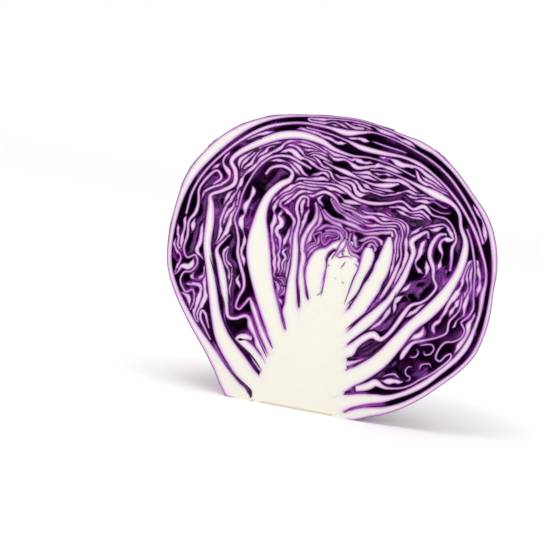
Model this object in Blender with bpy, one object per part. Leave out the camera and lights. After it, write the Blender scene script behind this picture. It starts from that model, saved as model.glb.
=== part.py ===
"""Half a red cabbage head, cut lengthwise through the stem.

The origin is in the middle of the half-round stem end, which is flat and which the half
stands on.  The cut face is a plane 10 mm in front of it, facing -Y, and the round outside
bulges to +Y.  Every leaf is a closed solid of its own: a folded strip on the cut face,
carried back along the curve of the head.
"""

import math

import bmesh
import bpy
from mathutils import Vector

MM = 0.001

# Driving dimensions, in millimetres
HEART_X = 5.0            # middle of the head, which every leaf wraps round
HEART_Z = 75.0
CUT_SETBACK = 10.0       # from the cut face back to the origin
BASE_LIFT = 4.5          # room under the side leaves at the back, for the back leaf's foot
SKIN_GAP = 2.0           # between the back leaf and the leaves under it
BLADE = 0.9              # thickness of the back leaf away from its ribs
RIB_FOOT = 4.5           # extra thickness of its midrib at the foot
RIB_TIP = 0.6            # and at the crown
RIB_WIDTH = 0.16         # half width of the midrib, as a share of the leaf's half width
FOOT_WIDTH = 1.4         # the same at the foot, where the midrib is the whole leaf
FOOT_ROWS = 3            # rows of the back leaf over which the foot narrows to the midrib
STEM_SIDES = 40          # sides of the full round stem, before it is halved

# Radius of the head from its middle, at these heights of angle: side, side and back
PROFILE_ANGLES = (-90, -75, -60, -45, -30, -15, 0, 15, 30, 45, 60, 75, 90)
LEFT_RADII = (86, 86, 86, 76.5, 77, 80, 80, 81, 82, 80, 75, 71, 69.5)
RIGHT_RADII = (80, 80, 80, 81.5, 82.8, 82.5, 80, 78.8, 76.2, 73.7, 71.4, 70, 69.5)
BACK_RADII = (88, 88, 86, 79, 77, 77, 77, 77, 76, 74, 71.5, 70, 69.5)

# Depth angles of the rings of every swept leaf
DEPTH_ANGLES = (0, 17, 34, 50, 65)

# Stem and core, from the flat end to the growing tip: height, middle and radius
CORE_RINGS = (
    (0, 1.8, 22.0), (1.2, 1.8, 22.8), (8, 1.6, 21.2), (16, 1.8, 20.2), (23, 2.2, 19.4),
    (28, 2.6, 18.2), (37, 4.2, 15.0), (44, 5.2, 12.4), (50, 5.8, 11.2), (56, 6.6, 9.0),
    (62, 7.6, 6.6), (70, 8.6, 6.2), (79, 8.6, 4.2), (83, 8.4, 1.6), (84, 8.4, 0),
)

# Side wrapper leaves: x, z and half thickness along the cut, from the foot to the crown
SIDE_WRAPPERS = {
    "wrapper_left": (
        (-28.8, 3.6, 3.9), (-35.8, 8.8, 3.2), (-45, 18.6, 1.9), (-56.2, 32.2, 1.2), (-66.2, 46.2, 1.0),
        (-72, 59, 1.0), (-73.6, 74, 1.0), (-72.6, 90, 1.3), (-69.2, 103.2, 2.1), (-63, 114.2, 2.5),
        (-55, 124, 2.3), (-45.6, 131.6, 1.5), (-34, 137.2, 0.8), (-18, 140.6, 0.6), (3, 143.4, 0.5),
    ),
    "wrapper_right": (
        (29, 2.6, 1.8), (38, 5.6, 1.3), (48, 9.8, 1.1), (58, 15.8, 1.0), (67, 24.2, 1.0),
        (75, 33.4, 1.0), (80, 42, 1.0), (82.6, 52, 1.0), (83.6, 63, 1.1), (83, 75, 0.9),
        (82.6, 84, 1.2), (80.6, 94, 1.4), (76.6, 104, 1.3), (71.6, 111, 1.2), (64.2, 118.4, 1.0),
        (54.2, 127.4, 1.0), (43.6, 134.4, 1.0), (36, 137.4, 1.3), (28, 139.4, 0.8), (14, 141.8, 0.5),
    ),
}

# Leaves that grow from the left flank of the core, the outermost first
LEFT_LEAVES = {
    "left_leaf_1": (
        (-23, 9.9, 4.1), (-31, 17.7, 4.3), (-40, 27.5, 3.7), (-45.5, 38, 2.6), (-49.2, 49, 2.3),
        (-52.8, 60, 2.0), (-56.2, 71, 2.0), (-57, 82, 2.2), (-58, 90, 1.7), (-59, 95, 1.0),
        (-54, 98.2, 1.0), (-49, 102.5, 1.2), (-49.5, 108.5, 1.2), (-52.3, 113, 1.2), (-49, 118, 1.4),
        (-41, 124, 1.8), (-32, 129.2, 2.1), (-22, 131.6, 2.0), (-12, 130.6, 1.6), (-5, 128, 1.1),
        (4, 126.6, 0.7), (13, 127.2, 0.5), (24, 125.8, 0.5), (36, 122.4, 0.5),
    ),
    "left_leaf_2": (
        (-20.4, 19.6, 2.0), (-25, 23.4, 1.4), (-31, 26.8, 0.9), (-33.6, 28.8, 0.7), (-30.5, 30.4, 0.7),
        (-26.6, 30, 0.6),
    ),
    "left_leaf_3": (
        (-20.4, 25, 0.5), (-23.6, 31, 0.8), (-26.8, 36, 1.0), (-29.6, 39.8, 0.9), (-32, 40.6, 0.8),
        (-36, 38.6, 0.9), (-39.6, 38.8, 1.0), (-41.4, 43, 1.2), (-43.6, 50, 1.8), (-46, 57, 2.0),
        (-48.4, 63, 1.7), (-51.2, 69.6, 1.0), (-48.5, 75, 0.6), (-46.4, 78, 0.5),
    ),
    "left_leaf_4": (
        (-18.2, 27.6, 0.9), (-21, 32.4, 1.1), (-24.8, 39, 1.1), (-28.4, 45.4, 1.0), (-31, 49.4, 0.8),
        (-33, 46.4, 0.6), (-35, 43.4, 0.6), (-37, 44.4, 0.6), (-36.5, 49, 0.7), (-35, 54, 0.8),
        (-36, 59, 0.9), (-38.6, 64.5, 0.9), (-41, 70, 0.9), (-41.8, 76, 0.8), (-43.6, 81.5, 0.7),
        (-45.6, 86, 0.6), (-44.6, 92, 0.6), (-44, 99, 0.6), (-42, 106, 0.6), (-38.8, 113, 0.6),
        (-33.5, 118.6, 0.7), (-26, 120.4, 0.8), (-19.5, 118.6, 0.8), (-14, 116.8, 0.6),
    ),
    "left_leaf_5": (
        (-15.4, 34, 2.8), (-18.9, 42, 4.0), (-23.8, 52, 4.9), (-28, 62, 5.5), (-31.2, 72, 6.0),
        (-32.6, 80, 5.1), (-33.4, 88, 3.3), (-33, 95, 2.4), (-31, 101, 2.1), (-27, 106.4, 1.8),
        (-23, 109.6, 1.4), (-22.8, 113.4, 0.9), (-27.5, 115.3, 0.9), (-32.6, 113.6, 0.8), (-35, 110, 0.7),
    ),
    "left_leaf_6": (
        (-10.6, 44, 2.0), (-11.4, 52, 2.2), (-12.6, 61, 1.7), (-13, 69, 1.5), (-14, 77, 1.4),
        (-15.2, 84, 1.2), (-15, 91, 0.9), (-17.3, 97, 1.0), (-16, 102.3, 0.9), (-12.8, 102.6, 0.7),
        (-12, 98.6, 0.6),
    ),
    "left_leaf_7": (
        (-6.5, 53, 1.1), (-8.4, 62, 1.1), (-9.2, 69, 1.1), (-10.3, 76, 1.1), (-11.2, 82, 1.1),
        (-9.6, 88, 1.3), (-7.3, 93, 1.2), (-7.4, 97.6, 0.8), (-8.8, 101.2, 0.6),
    ),
    "left_leaf_8": (
        (-2.4, 60.4, 1.4), (-2.8, 66.5, 2.8), (-2.8, 72, 2.9), (-3, 76.5, 1.6), (-3.4, 80, 0.6),
    ),
    "left_fold_1": (
        (-46, 26, 0.5), (-49.4, 30.6, 0.6), (-52.8, 35.6, 0.8), (-52.8, 39.2, 0.8), (-50.8, 38, 0.8),
        (-49, 34, 0.6), (-47.8, 31.4, 0.4),
    ),
    "left_fold_2": (
        (-58.4, 38.6, 0.5), (-57.4, 43.6, 0.5), (-59, 48.4, 0.6), (-61.8, 46.8, 0.6), (-63.8, 48.2, 0.6),
        (-65.8, 52, 0.6), (-64.8, 56, 0.6), (-61.4, 57.2, 0.6), (-59.2, 61.4, 0.6), (-61, 65.2, 0.6),
        (-64.6, 63.4, 0.6), (-67, 67.6, 0.6), (-66.4, 74, 0.8), (-67, 80.6, 0.7), (-64.6, 85.6, 1.0),
        (-64.2, 91, 0.8), (-65, 97, 0.7), (-62, 103.4, 0.8), (-58.4, 107.2, 0.7), (-55.6, 104.2, 0.8),
        (-58.6, 100.6, 0.6),
    ),
}

# Leaves that grow from the right flank of the core, the innermost first
RIGHT_LEAVES = {
    "right_leaf_1": (
        (17.2, 60.8, 0.9), (18.8, 67, 1.3), (20.4, 74, 1.6), (21.2, 80, 1.6), (20.4, 84, 1.0),
    ),
    "right_leaf_2": (
        (19.4, 50.4, 2.2), (22.8, 57.6, 3.2), (26, 65.5, 3.6), (28.6, 74, 3.5), (29.8, 82, 3.1),
        (29.9, 88, 2.4), (29.6, 91.6, 0.8),
    ),
    "right_leaf_3": (
        (21.4, 41.6, 1.5), (25.8, 47, 1.7), (30.8, 53.4, 1.6), (34.8, 60, 1.4), (37.8, 66.5, 1.6),
        (40.2, 73, 1.7), (41.6, 80, 1.4), (42.5, 86.5, 1.4), (40.6, 91.4, 1.5), (43.6, 95, 1.2),
        (47, 97.4, 0.8), (48.4, 94.6, 0.5),
    ),
    "right_leaf_4": (
        (22.6, 33.8, 1.0), (25.6, 39.2, 1.0), (30.4, 42.6, 1.0), (35.4, 42.2, 0.8), (38.8, 45.6, 1.0),
        (41.4, 50.6, 1.2), (43.6, 55.6, 1.3), (46.4, 60.8, 1.0), (51.2, 63.4, 0.8), (54.6, 67, 0.8),
        (56.8, 72, 0.8), (54.6, 76, 0.8), (53.4, 81, 1.1), (50.6, 86.4, 1.2), (50.6, 92, 1.2),
        (53, 97, 1.0), (56.6, 98.2, 0.6),
    ),
    "right_leaf_5": (
        (24, 19.8, 3.0), (30, 24.4, 3.3), (37, 31.4, 3.8), (42.8, 40.6, 3.6), (48.6, 50.6, 3.0),
        (54.8, 58.2, 3.3), (60, 66, 3.2), (63.8, 74.4, 2.5), (66.2, 82, 2.2), (67, 90, 2.0),
        (66.2, 96.6, 1.4), (62.8, 102.6, 1.0), (60.6, 109, 1.0), (56, 113.2, 1.2), (48, 115.8, 2.0),
        (40, 118, 1.2), (31, 120.6, 0.6), (22, 122.4, 0.5), (14, 121.8, 0.5),
    ),
    "right_leaf_6": (
        (25.6, 8.8, 2.0), (33, 11, 1.4), (42, 13.1, 1.3), (51.6, 17.6, 1.4), (60, 23.8, 1.6),
        (67, 31.2, 1.3), (73.4, 39.2, 1.4), (77.4, 47, 1.5), (79.4, 56, 1.0), (80.2, 64, 1.0),
        (79.8, 72, 1.3), (80, 79, 0.8), (78.4, 86, 0.7), (75.2, 92.6, 0.8), (70.4, 101, 0.9),
        (64.8, 108.2, 0.8), (58.4, 115, 0.8), (51, 121, 0.7), (43, 126, 0.7), (36, 129, 1.0),
        (28, 130.6, 0.8), (18, 130.6, 1.2), (8, 131.2, 1.4), (0, 133.2, 0.6), (-9, 134.8, 0.5),
        (-20, 135.6, 0.5),
    ),
    "right_fold_1": (
        (28, 16.6, 0.6), (33, 18.4, 0.6), (38, 20.6, 0.6), (45, 19.2, 0.6), (51.6, 21.4, 0.6),
        (56, 26.4, 0.7), (61.4, 29.6, 0.7), (66.2, 35, 0.7), (70.6, 40.2, 0.7), (68.6, 41.6, 0.6),
        (65.8, 37.8, 0.6), (63.2, 39, 0.6), (64.6, 44, 0.6), (67.4, 47.2, 0.6), (71.4, 47.6, 0.6),
        (74, 50.4, 0.6), (74.6, 54, 0.6), (72.4, 57.4, 0.6), (74.8, 60.4, 0.6), (76.6, 65, 0.7),
        (75.6, 71, 0.6), (74.6, 77, 0.6), (73.6, 84, 0.6), (71.4, 91, 0.7), (68.8, 97.4, 0.6),
        (65.8, 102.4, 0.6),
    ),
}

# Leaves that grow from behind the cut and cross it over the heart
CROWN_LEAVES = {
    "crown_leaf_1": (
        (-69, 84, 0.6), (-68, 95, 0.7), (-64, 105.4, 0.7), (-57.4, 115.2, 0.7), (-49.4, 124, 0.8),
        (-40.8, 130.8, 1.0), (-33, 134.6, 0.8), (-22, 137.4, 0.7), (-10, 137.6, 0.8), (-1, 136.8, 1.6),
        (6, 138.2, 1.0), (13, 139.4, 0.5), (24, 137.6, 0.5), (34, 134.6, 0.6), (44, 130.6, 0.6),
        (53, 124.8, 0.7), (61.6, 116.6, 0.7), (69.4, 107, 0.7), (75, 97, 0.7),
    ),
    "crown_leaf_2": (
        (-9, 121.4, 0.5), (-3, 119.4, 0.7), (3, 118.2, 1.3), (10, 116.4, 0.5), (17, 115, 0.8),
        (23.6, 115.8, 1.4), (29, 117.6, 0.5),
    ),
    "crown_leaf_3": (
        (-16, 110, 0.6), (-9, 110.6, 0.6), (-2, 111.4, 0.6), (4, 110, 1.1), (10, 106.8, 0.9),
        (18, 106, 1.0), (26, 107.6, 0.8), (32, 109.6, 0.7), (38, 107, 0.8), (43, 109.2, 1.2),
        (48, 106, 0.6), (54.6, 105.4, 0.6), (58.8, 102, 0.6), (61.6, 96.6, 0.7), (60.6, 92, 1.0),
        (61.4, 86, 0.8), (61.8, 81, 0.6),
    ),
    "crown_leaf_4": (
        (-9.6, 104.8, 0.7), (-5.4, 107, 1.0), (-0.4, 105.4, 0.8), (3.6, 101.6, 0.6), (9, 100.6, 0.7),
        (15, 98.8, 0.9), (19.8, 99.4, 1.0), (25, 97.6, 0.7), (32, 98.8, 0.6), (35.4, 94.6, 0.6),
        (35.8, 88.6, 0.6), (37, 83, 0.6), (36, 77, 0.6), (34.4, 70, 0.6), (32, 63.6, 0.5),
    ),
    "crown_leaf_5": (
        (-4.4, 98.6, 0.5), (0, 95.6, 0.7), (5, 94.8, 0.8), (11.4, 93.8, 1.2), (17, 92.4, 0.6),
        (23, 94.2, 0.6), (27, 95, 0.6),
    ),
    "heart_leaf_1": ((-6.4, 84.6, 0.5), (-3.4, 88, 0.6), (1, 89.4, 0.6), (4.6, 87.4, 0.5)),
    "heart_leaf_2": ((11, 88.4, 0.5), (14.4, 85, 0.6), (17, 88, 0.5), (21, 89, 0.6), (24.4, 86.4, 0.5)),
}

# Back wrapper leaf: angle along its midrib from the foot over the back, and half width in degrees
BACK_LEAF_ROWS = (
    (-70, 13), (-66, 15), (-61, 18), (-54, 24), (-42, 34), (-28, 41), (-13, 46), (2, 48),
    (17, 47), (32, 44), (47, 40), (62, 34), (76, 26),
)
BACK_LEAF_COLUMNS = (-1, -0.8, -0.58, -0.36, -0.16, 0, 0.16, 0.36, 0.58, 0.8, 1)


def clear_scene():
    """Remove whatever the file holds."""
    for thing in list(bpy.data.objects):
        bpy.data.objects.remove(thing, do_unlink=True)


def make_material(name, colour, roughness):
    """A plain Principled material for one group of pieces."""
    material = bpy.data.materials.new(name)
    material.use_nodes = True
    shader = material.node_tree.nodes["Principled BSDF"]
    shader.inputs["Base Color"].default_value = (*colour, 1.0)
    shader.inputs["Roughness"].default_value = roughness
    shader.inputs["Metallic"].default_value = 0.0
    return material


def along_profile(radii, angle):
    """Radius of one profile of the head at an angle of height, in degrees."""
    last = len(PROFILE_ANGLES) - 1
    step = PROFILE_ANGLES[1] - PROFILE_ANGLES[0]
    place = min(max((angle - PROFILE_ANGLES[0]) / step, 0.0), last)
    index = min(int(place), last - 1)
    share = place - index
    share = share * share * (3.0 - 2.0 * share)
    return radii[index] * (1.0 - share) + radii[index + 1] * share


def head_radius(direction):
    """Distance in mm from the middle of the head to its skin, along a unit direction."""
    height = math.degrees(math.asin(max(-1.0, min(1.0, direction.z))))
    level = max(math.hypot(direction.x, direction.y), 1e-9)
    backness = (direction.y / level) ** 2
    side_radii = LEFT_RADII if direction.x < 0.0 else RIGHT_RADII
    side = along_profile(side_radii, height)
    back = along_profile(BACK_RADII, height)
    radius = side * (1.0 - backness) + back * backness
    if direction.z < -0.1:
        floor_depth = HEART_Z - BASE_LIFT * backness
        radius = min(radius, floor_depth / -direction.z)
    return radius


def round_the_head(x, z, depth_angle):
    """Carry a point of the cut face back round the head by an angle in degrees."""
    across = x - HEART_X
    up = z - HEART_Z
    length = math.hypot(across, up)
    flat = Vector((across / length, 0.0, up / length))
    turn = math.radians(depth_angle)
    direction = Vector((flat.x * math.cos(turn), math.sin(turn), flat.z * math.cos(turn)))
    radius = length * head_radius(direction) / head_radius(flat)
    return Vector((HEART_X, 0.0, HEART_Z)) * MM + direction * radius * MM


def smooth_curve(points, spans=2):
    """Catmull-Rom curve through rows of numbers, with a few steps for each span."""
    rows = [Vector(point) for point in points]
    rows.insert(0, rows[0] * 2.0 - rows[1])
    rows.append(rows[-1] * 2.0 - rows[-2])
    curve = []
    for index in range(1, len(rows) - 2):
        before, start, end, after = rows[index - 1:index + 3]
        for step in range(spans):
            t = step / spans
            curve.append(
                0.5 * (2.0 * start + (end - before) * t
                       + (2.0 * before - 5.0 * start + 4.0 * end - after) * t ** 2
                       + (3.0 * start - before - 3.0 * end + after) * t ** 3)
            )
    curve.append(rows[-2])
    return curve


def strip_edges(curve):
    """The two long edges of a strip with its own half thickness at each point."""
    left, right = [], []
    for index, point in enumerate(curve):
        ahead = curve[min(index + 1, len(curve) - 1)]
        behind = curve[max(index - 1, 0)]
        along = Vector((ahead.x - behind.x, ahead.y - behind.y)).normalized()
        normal = Vector((-along.y, along.x)) * point.z
        middle = Vector((point.x, point.y))
        left.append(middle + normal)
        right.append(middle - normal)
    return left, right


def swept_leaf(name, points, material, collection):
    """A leaf solid: its strip on the cut face, extruded ring by ring and rounded to the head."""
    left, right = strip_edges(smooth_curve(points))
    mesh = bmesh.new()
    left_verts = [mesh.verts.new((p.x, DEPTH_ANGLES[0], p.y)) for p in left]
    right_verts = [mesh.verts.new((p.x, DEPTH_ANGLES[0], p.y)) for p in right]
    faces = []
    for index in range(len(left) - 1):
        corners = (left_verts[index], left_verts[index + 1], right_verts[index + 1], right_verts[index])
        faces.append(mesh.faces.new(corners))
    for ring, angle in enumerate(DEPTH_ANGLES[1:]):
        grown = bmesh.ops.extrude_face_region(mesh, geom=faces)
        if ring > 0:
            bmesh.ops.delete(mesh, geom=faces, context="FACES_ONLY")
        faces = [item for item in grown["geom"] if isinstance(item, bmesh.types.BMFace)]
        for item in grown["geom"]:
            if isinstance(item, bmesh.types.BMVert):
                item.co.y = angle
    for vert in mesh.verts:
        vert.co = round_the_head(vert.co.x, vert.co.z, vert.co.y)
    return finish_object(name, mesh, material, collection)


def back_leaf_thickness(row, column):
    """Thickness of the back leaf in mm: a midrib that thins and narrows away from the foot."""
    rib = RIB_FOOT + (RIB_TIP - RIB_FOOT) * row / (len(BACK_LEAF_ROWS) - 1)
    footness = max(0.0, 1.0 - row / FOOT_ROWS)
    width = RIB_WIDTH + (FOOT_WIDTH - RIB_WIDTH) * footness
    return BLADE + rib * math.exp(-(column / width) ** 2)


def back_leaf(name, material, collection):
    """The outermost leaf: from its foot behind the stem, up the back and over the crown."""
    mesh = bmesh.new()
    inner, outer = [], []
    heart = Vector((HEART_X, 0.0, HEART_Z)) * MM
    for row, (angle, half_width) in enumerate(BACK_LEAF_ROWS):
        turn = math.radians(angle)
        inner_row, outer_row = [], []
        for column in BACK_LEAF_COLUMNS:
            side = math.radians(half_width * column)
            forward = max(math.cos(side) * math.cos(turn), 0.0)
            direction = Vector((math.sin(side), forward, math.cos(side) * math.sin(turn))).normalized()
            under = head_radius(direction) + SKIN_GAP
            over = under + back_leaf_thickness(row, column)
            if direction.z < 0.0:
                over = min(over, HEART_Z / -direction.z)
            inner_row.append(mesh.verts.new(heart + direction * under * MM))
            outer_row.append(mesh.verts.new(heart + direction * over * MM))
        inner.append(inner_row)
        outer.append(outer_row)
    skin_grid(mesh, inner)
    skin_grid(mesh, outer)
    join_rims(mesh, grid_rim(inner), grid_rim(outer))
    return finish_object(name, mesh, material, collection)


def skin_grid(mesh, grid):
    """Faces over a grid of vertices."""
    for low, high in zip(grid, grid[1:]):
        for index in range(len(low) - 1):
            mesh.faces.new((low[index], low[index + 1], high[index + 1], high[index]))


def grid_rim(grid):
    """The vertices round the edge of a grid, in order."""
    right_side = [row[-1] for row in grid[1:-1]]
    left_side = [row[0] for row in grid[1:-1]]
    return grid[0] + right_side + grid[-1][::-1] + left_side[::-1]


def join_rims(mesh, rim_a, rim_b):
    """A band of faces between two closed rims."""
    for index in range(len(rim_a)):
        after = (index + 1) % len(rim_a)
        mesh.faces.new((rim_a[index], rim_a[after], rim_b[after], rim_b[index]))


def half_core(name, material, collection):
    """The stem and core: a turned body, halved at the cut plane and leant to its growing tip."""
    mesh = bmesh.new()
    profile = [mesh.verts.new((radius, 0.0, z)) for z, _, radius in CORE_RINGS]
    foot = mesh.verts.new((0.0, 0.0, 0.0))
    edges = [mesh.edges.new((foot, profile[0]))]
    edges += [mesh.edges.new(pair) for pair in zip(profile, profile[1:])]
    bmesh.ops.spin(
        mesh, geom=profile + [foot] + edges, cent=(0, 0, 0), axis=(0, 0, 1),
        angle=math.tau, steps=STEM_SIDES,
    )
    bmesh.ops.remove_doubles(mesh, verts=mesh.verts, dist=1e-4)
    everything = list(mesh.verts) + list(mesh.edges) + list(mesh.faces)
    cut = bmesh.ops.bisect_plane(
        mesh, geom=everything, dist=1e-5, plane_co=(0, 0, 0), plane_no=(0, 1, 0), clear_inner=True,
    )
    cut_edges = [item for item in cut["geom_cut"] if isinstance(item, bmesh.types.BMEdge)]
    bmesh.ops.edgenet_fill(mesh, edges=cut_edges)
    heights = [ring[0] for ring in CORE_RINGS]
    for vert in mesh.verts:
        index = min(range(len(heights)), key=lambda place: abs(heights[place] - vert.co.z))
        vert.co.x += CORE_RINGS[index][1]
        vert.co *= MM
    return finish_object(name, mesh, material, collection)


def finish_object(name, mesh, material, collection):
    """Turn the faces outwards, shade smooth and put the piece in its place and collection."""
    bmesh.ops.recalc_face_normals(mesh, faces=mesh.faces)
    bmesh.ops.translate(mesh, verts=mesh.verts, vec=(0.0, -CUT_SETBACK * MM, 0.0))
    data = bpy.data.meshes.new(name)
    mesh.to_mesh(data)
    mesh.free()
    data.shade_smooth()
    data.set_sharp_from_angle(angle=math.radians(40))
    data.materials.append(material)
    piece = bpy.data.objects.new(name, data)
    collection.objects.link(piece)
    return piece


def build():
    clear_scene()
    collection = bpy.data.collections.new("red_cabbage_half")
    bpy.context.scene.collection.children.link(collection)
    core_white = make_material("core_white", (0.93, 0.90, 0.80), 0.45)
    rib_white = make_material("rib_white", (0.82, 0.72, 0.84), 0.40)
    leaf_purple = make_material("leaf_purple", (0.22, 0.04, 0.26), 0.40)
    wrapper_mauve = make_material("wrapper_mauve", (0.20, 0.07, 0.18), 0.50)

    half_core("core_stem", core_white, collection)
    back_leaf("wrapper_back", wrapper_mauve, collection)
    for name, points in SIDE_WRAPPERS.items():
        swept_leaf(name, points, wrapper_mauve, collection)
    for name, points in {**LEFT_LEAVES, **RIGHT_LEAVES}.items():
        swept_leaf(name, points, rib_white, collection)
    for name, points in CROWN_LEAVES.items():
        swept_leaf(name, points, leaf_purple, collection)


build()
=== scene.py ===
"""Looks of half a red cabbage head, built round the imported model.

The cut face is drawn as a pattern of folded leaves in the plane of the cut: the large leaves
follow their own curves, and thin folded blades are grown along the flow between them.  Every
line becomes a solid ribbon, carried back round the head behind the cut.
"""

import math
from collections import deque

import bpy
import numpy as np
from mathutils import Matrix, Vector, kdtree


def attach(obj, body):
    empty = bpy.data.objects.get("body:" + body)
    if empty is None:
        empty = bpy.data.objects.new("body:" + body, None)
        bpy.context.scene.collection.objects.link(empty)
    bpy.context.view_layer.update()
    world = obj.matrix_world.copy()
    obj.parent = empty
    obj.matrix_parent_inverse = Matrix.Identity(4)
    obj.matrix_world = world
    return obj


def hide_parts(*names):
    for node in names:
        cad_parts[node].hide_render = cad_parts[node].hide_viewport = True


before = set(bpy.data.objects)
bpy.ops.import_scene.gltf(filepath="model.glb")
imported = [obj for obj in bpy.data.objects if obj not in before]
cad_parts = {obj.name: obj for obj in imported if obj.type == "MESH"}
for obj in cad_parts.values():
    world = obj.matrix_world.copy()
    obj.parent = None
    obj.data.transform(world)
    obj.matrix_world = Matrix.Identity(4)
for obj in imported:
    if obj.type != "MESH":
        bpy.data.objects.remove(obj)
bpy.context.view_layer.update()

MM = 0.001
TINY = 1e-9

# The head, in millimetres: its middle, and its radius at angles of height
HEART_X = 5.0
HEART_Z = 75.0
CUT_SETBACK = 10.0
BASE_LIFT = 4.5
PROFILE_ANGLES = np.arange(-90.0, 91.0, 15.0)
LEFT_RADII = np.array((86, 86, 86, 76.5, 77, 80, 80, 81, 82, 80, 75, 71, 69.5))
RIGHT_RADII = np.array((80, 80, 80, 81.5, 82.8, 82.5, 80, 78.8, 76.2, 73.7, 71.4, 70, 69.5))
BACK_RADII = np.array((88, 88, 86, 79, 77, 77, 77, 77, 76, 74, 71.5, 70, 69.5))

# The stem and core on the cut: height, left flank and right flank
CORE_FLANKS = np.array((
    (0, -27, 26.5), (1.2, -26.4, 26.2), (2.4, -21.8, 25), (4, -20.9, 24.6), (9, -20, 23.6),
    (16, -19, 22.8), (24, -17.6, 22), (30, -15.4, 21),
    (38, -11.6, 19.6), (45, -8.6, 17.8), (50, -6.8, 16.8), (56, -1.6, 15.6), (60, 1.8, 15.4),
    (66, 2.5, 16), (72, 2.3, 17.4), (76, 2.6, 17.6), (79, 4.2, 16.2), (81, 7, 13),
))

# Large leaves on the cut: x, z and half thickness along each, from its foot
WRAPPER_LEAVES = {
    "wrapper_left": (
        (-22, -2.5, 5.6), (-27, 1.4, 4.9), (-30.4, 3.8, 4.4), (-34.2, 7.8, 3.9), (-38.6, 13.2, 3.3),
        (-44.4, 19.8, 2.6), (-50.8, 26.6, 2.0), (-57.4, 34, 1.6), (-66.6, 46.6, 1.3), (-72.4, 59, 1.2),
        (-74.1, 74, 1.2), (-73.1, 90, 1.5), (-69.8, 103.2, 2.2), (-63.5, 114.4, 2.6), (-55.4, 124.4, 2.5),
        (-46, 132.2, 1.6), (-34, 138, 0.9), (-18, 141.6, 0.6), (3, 143.9, 0.5), (20, 142.2, 0.45),
    ),
    "wrapper_right": (
        (20, -1.5, 2.2), (25, 1.2, 2.3), (29.5, 2.6, 2.3), (36, 4.8, 1.9), (44, 7.6, 1.8), (52, 11.8, 1.5),
        (60, 17.8, 1.3), (67, 24.6, 1.2), (75.2, 33.4, 1.1), (80.8, 42, 1.1), (83.6, 52, 1.1),
        (84.4, 63, 1.2), (83.8, 75, 1.0), (83.2, 84, 1.3), (81, 94, 1.5), (77, 104, 1.4), (72, 111.4, 1.3),
        (64.6, 119, 1.0), (54.6, 128.2, 1.1), (44, 135, 1.1), (36, 138, 1.5), (28, 140.2, 0.8),
        (14, 142.8, 0.45),
    ),
}
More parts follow.
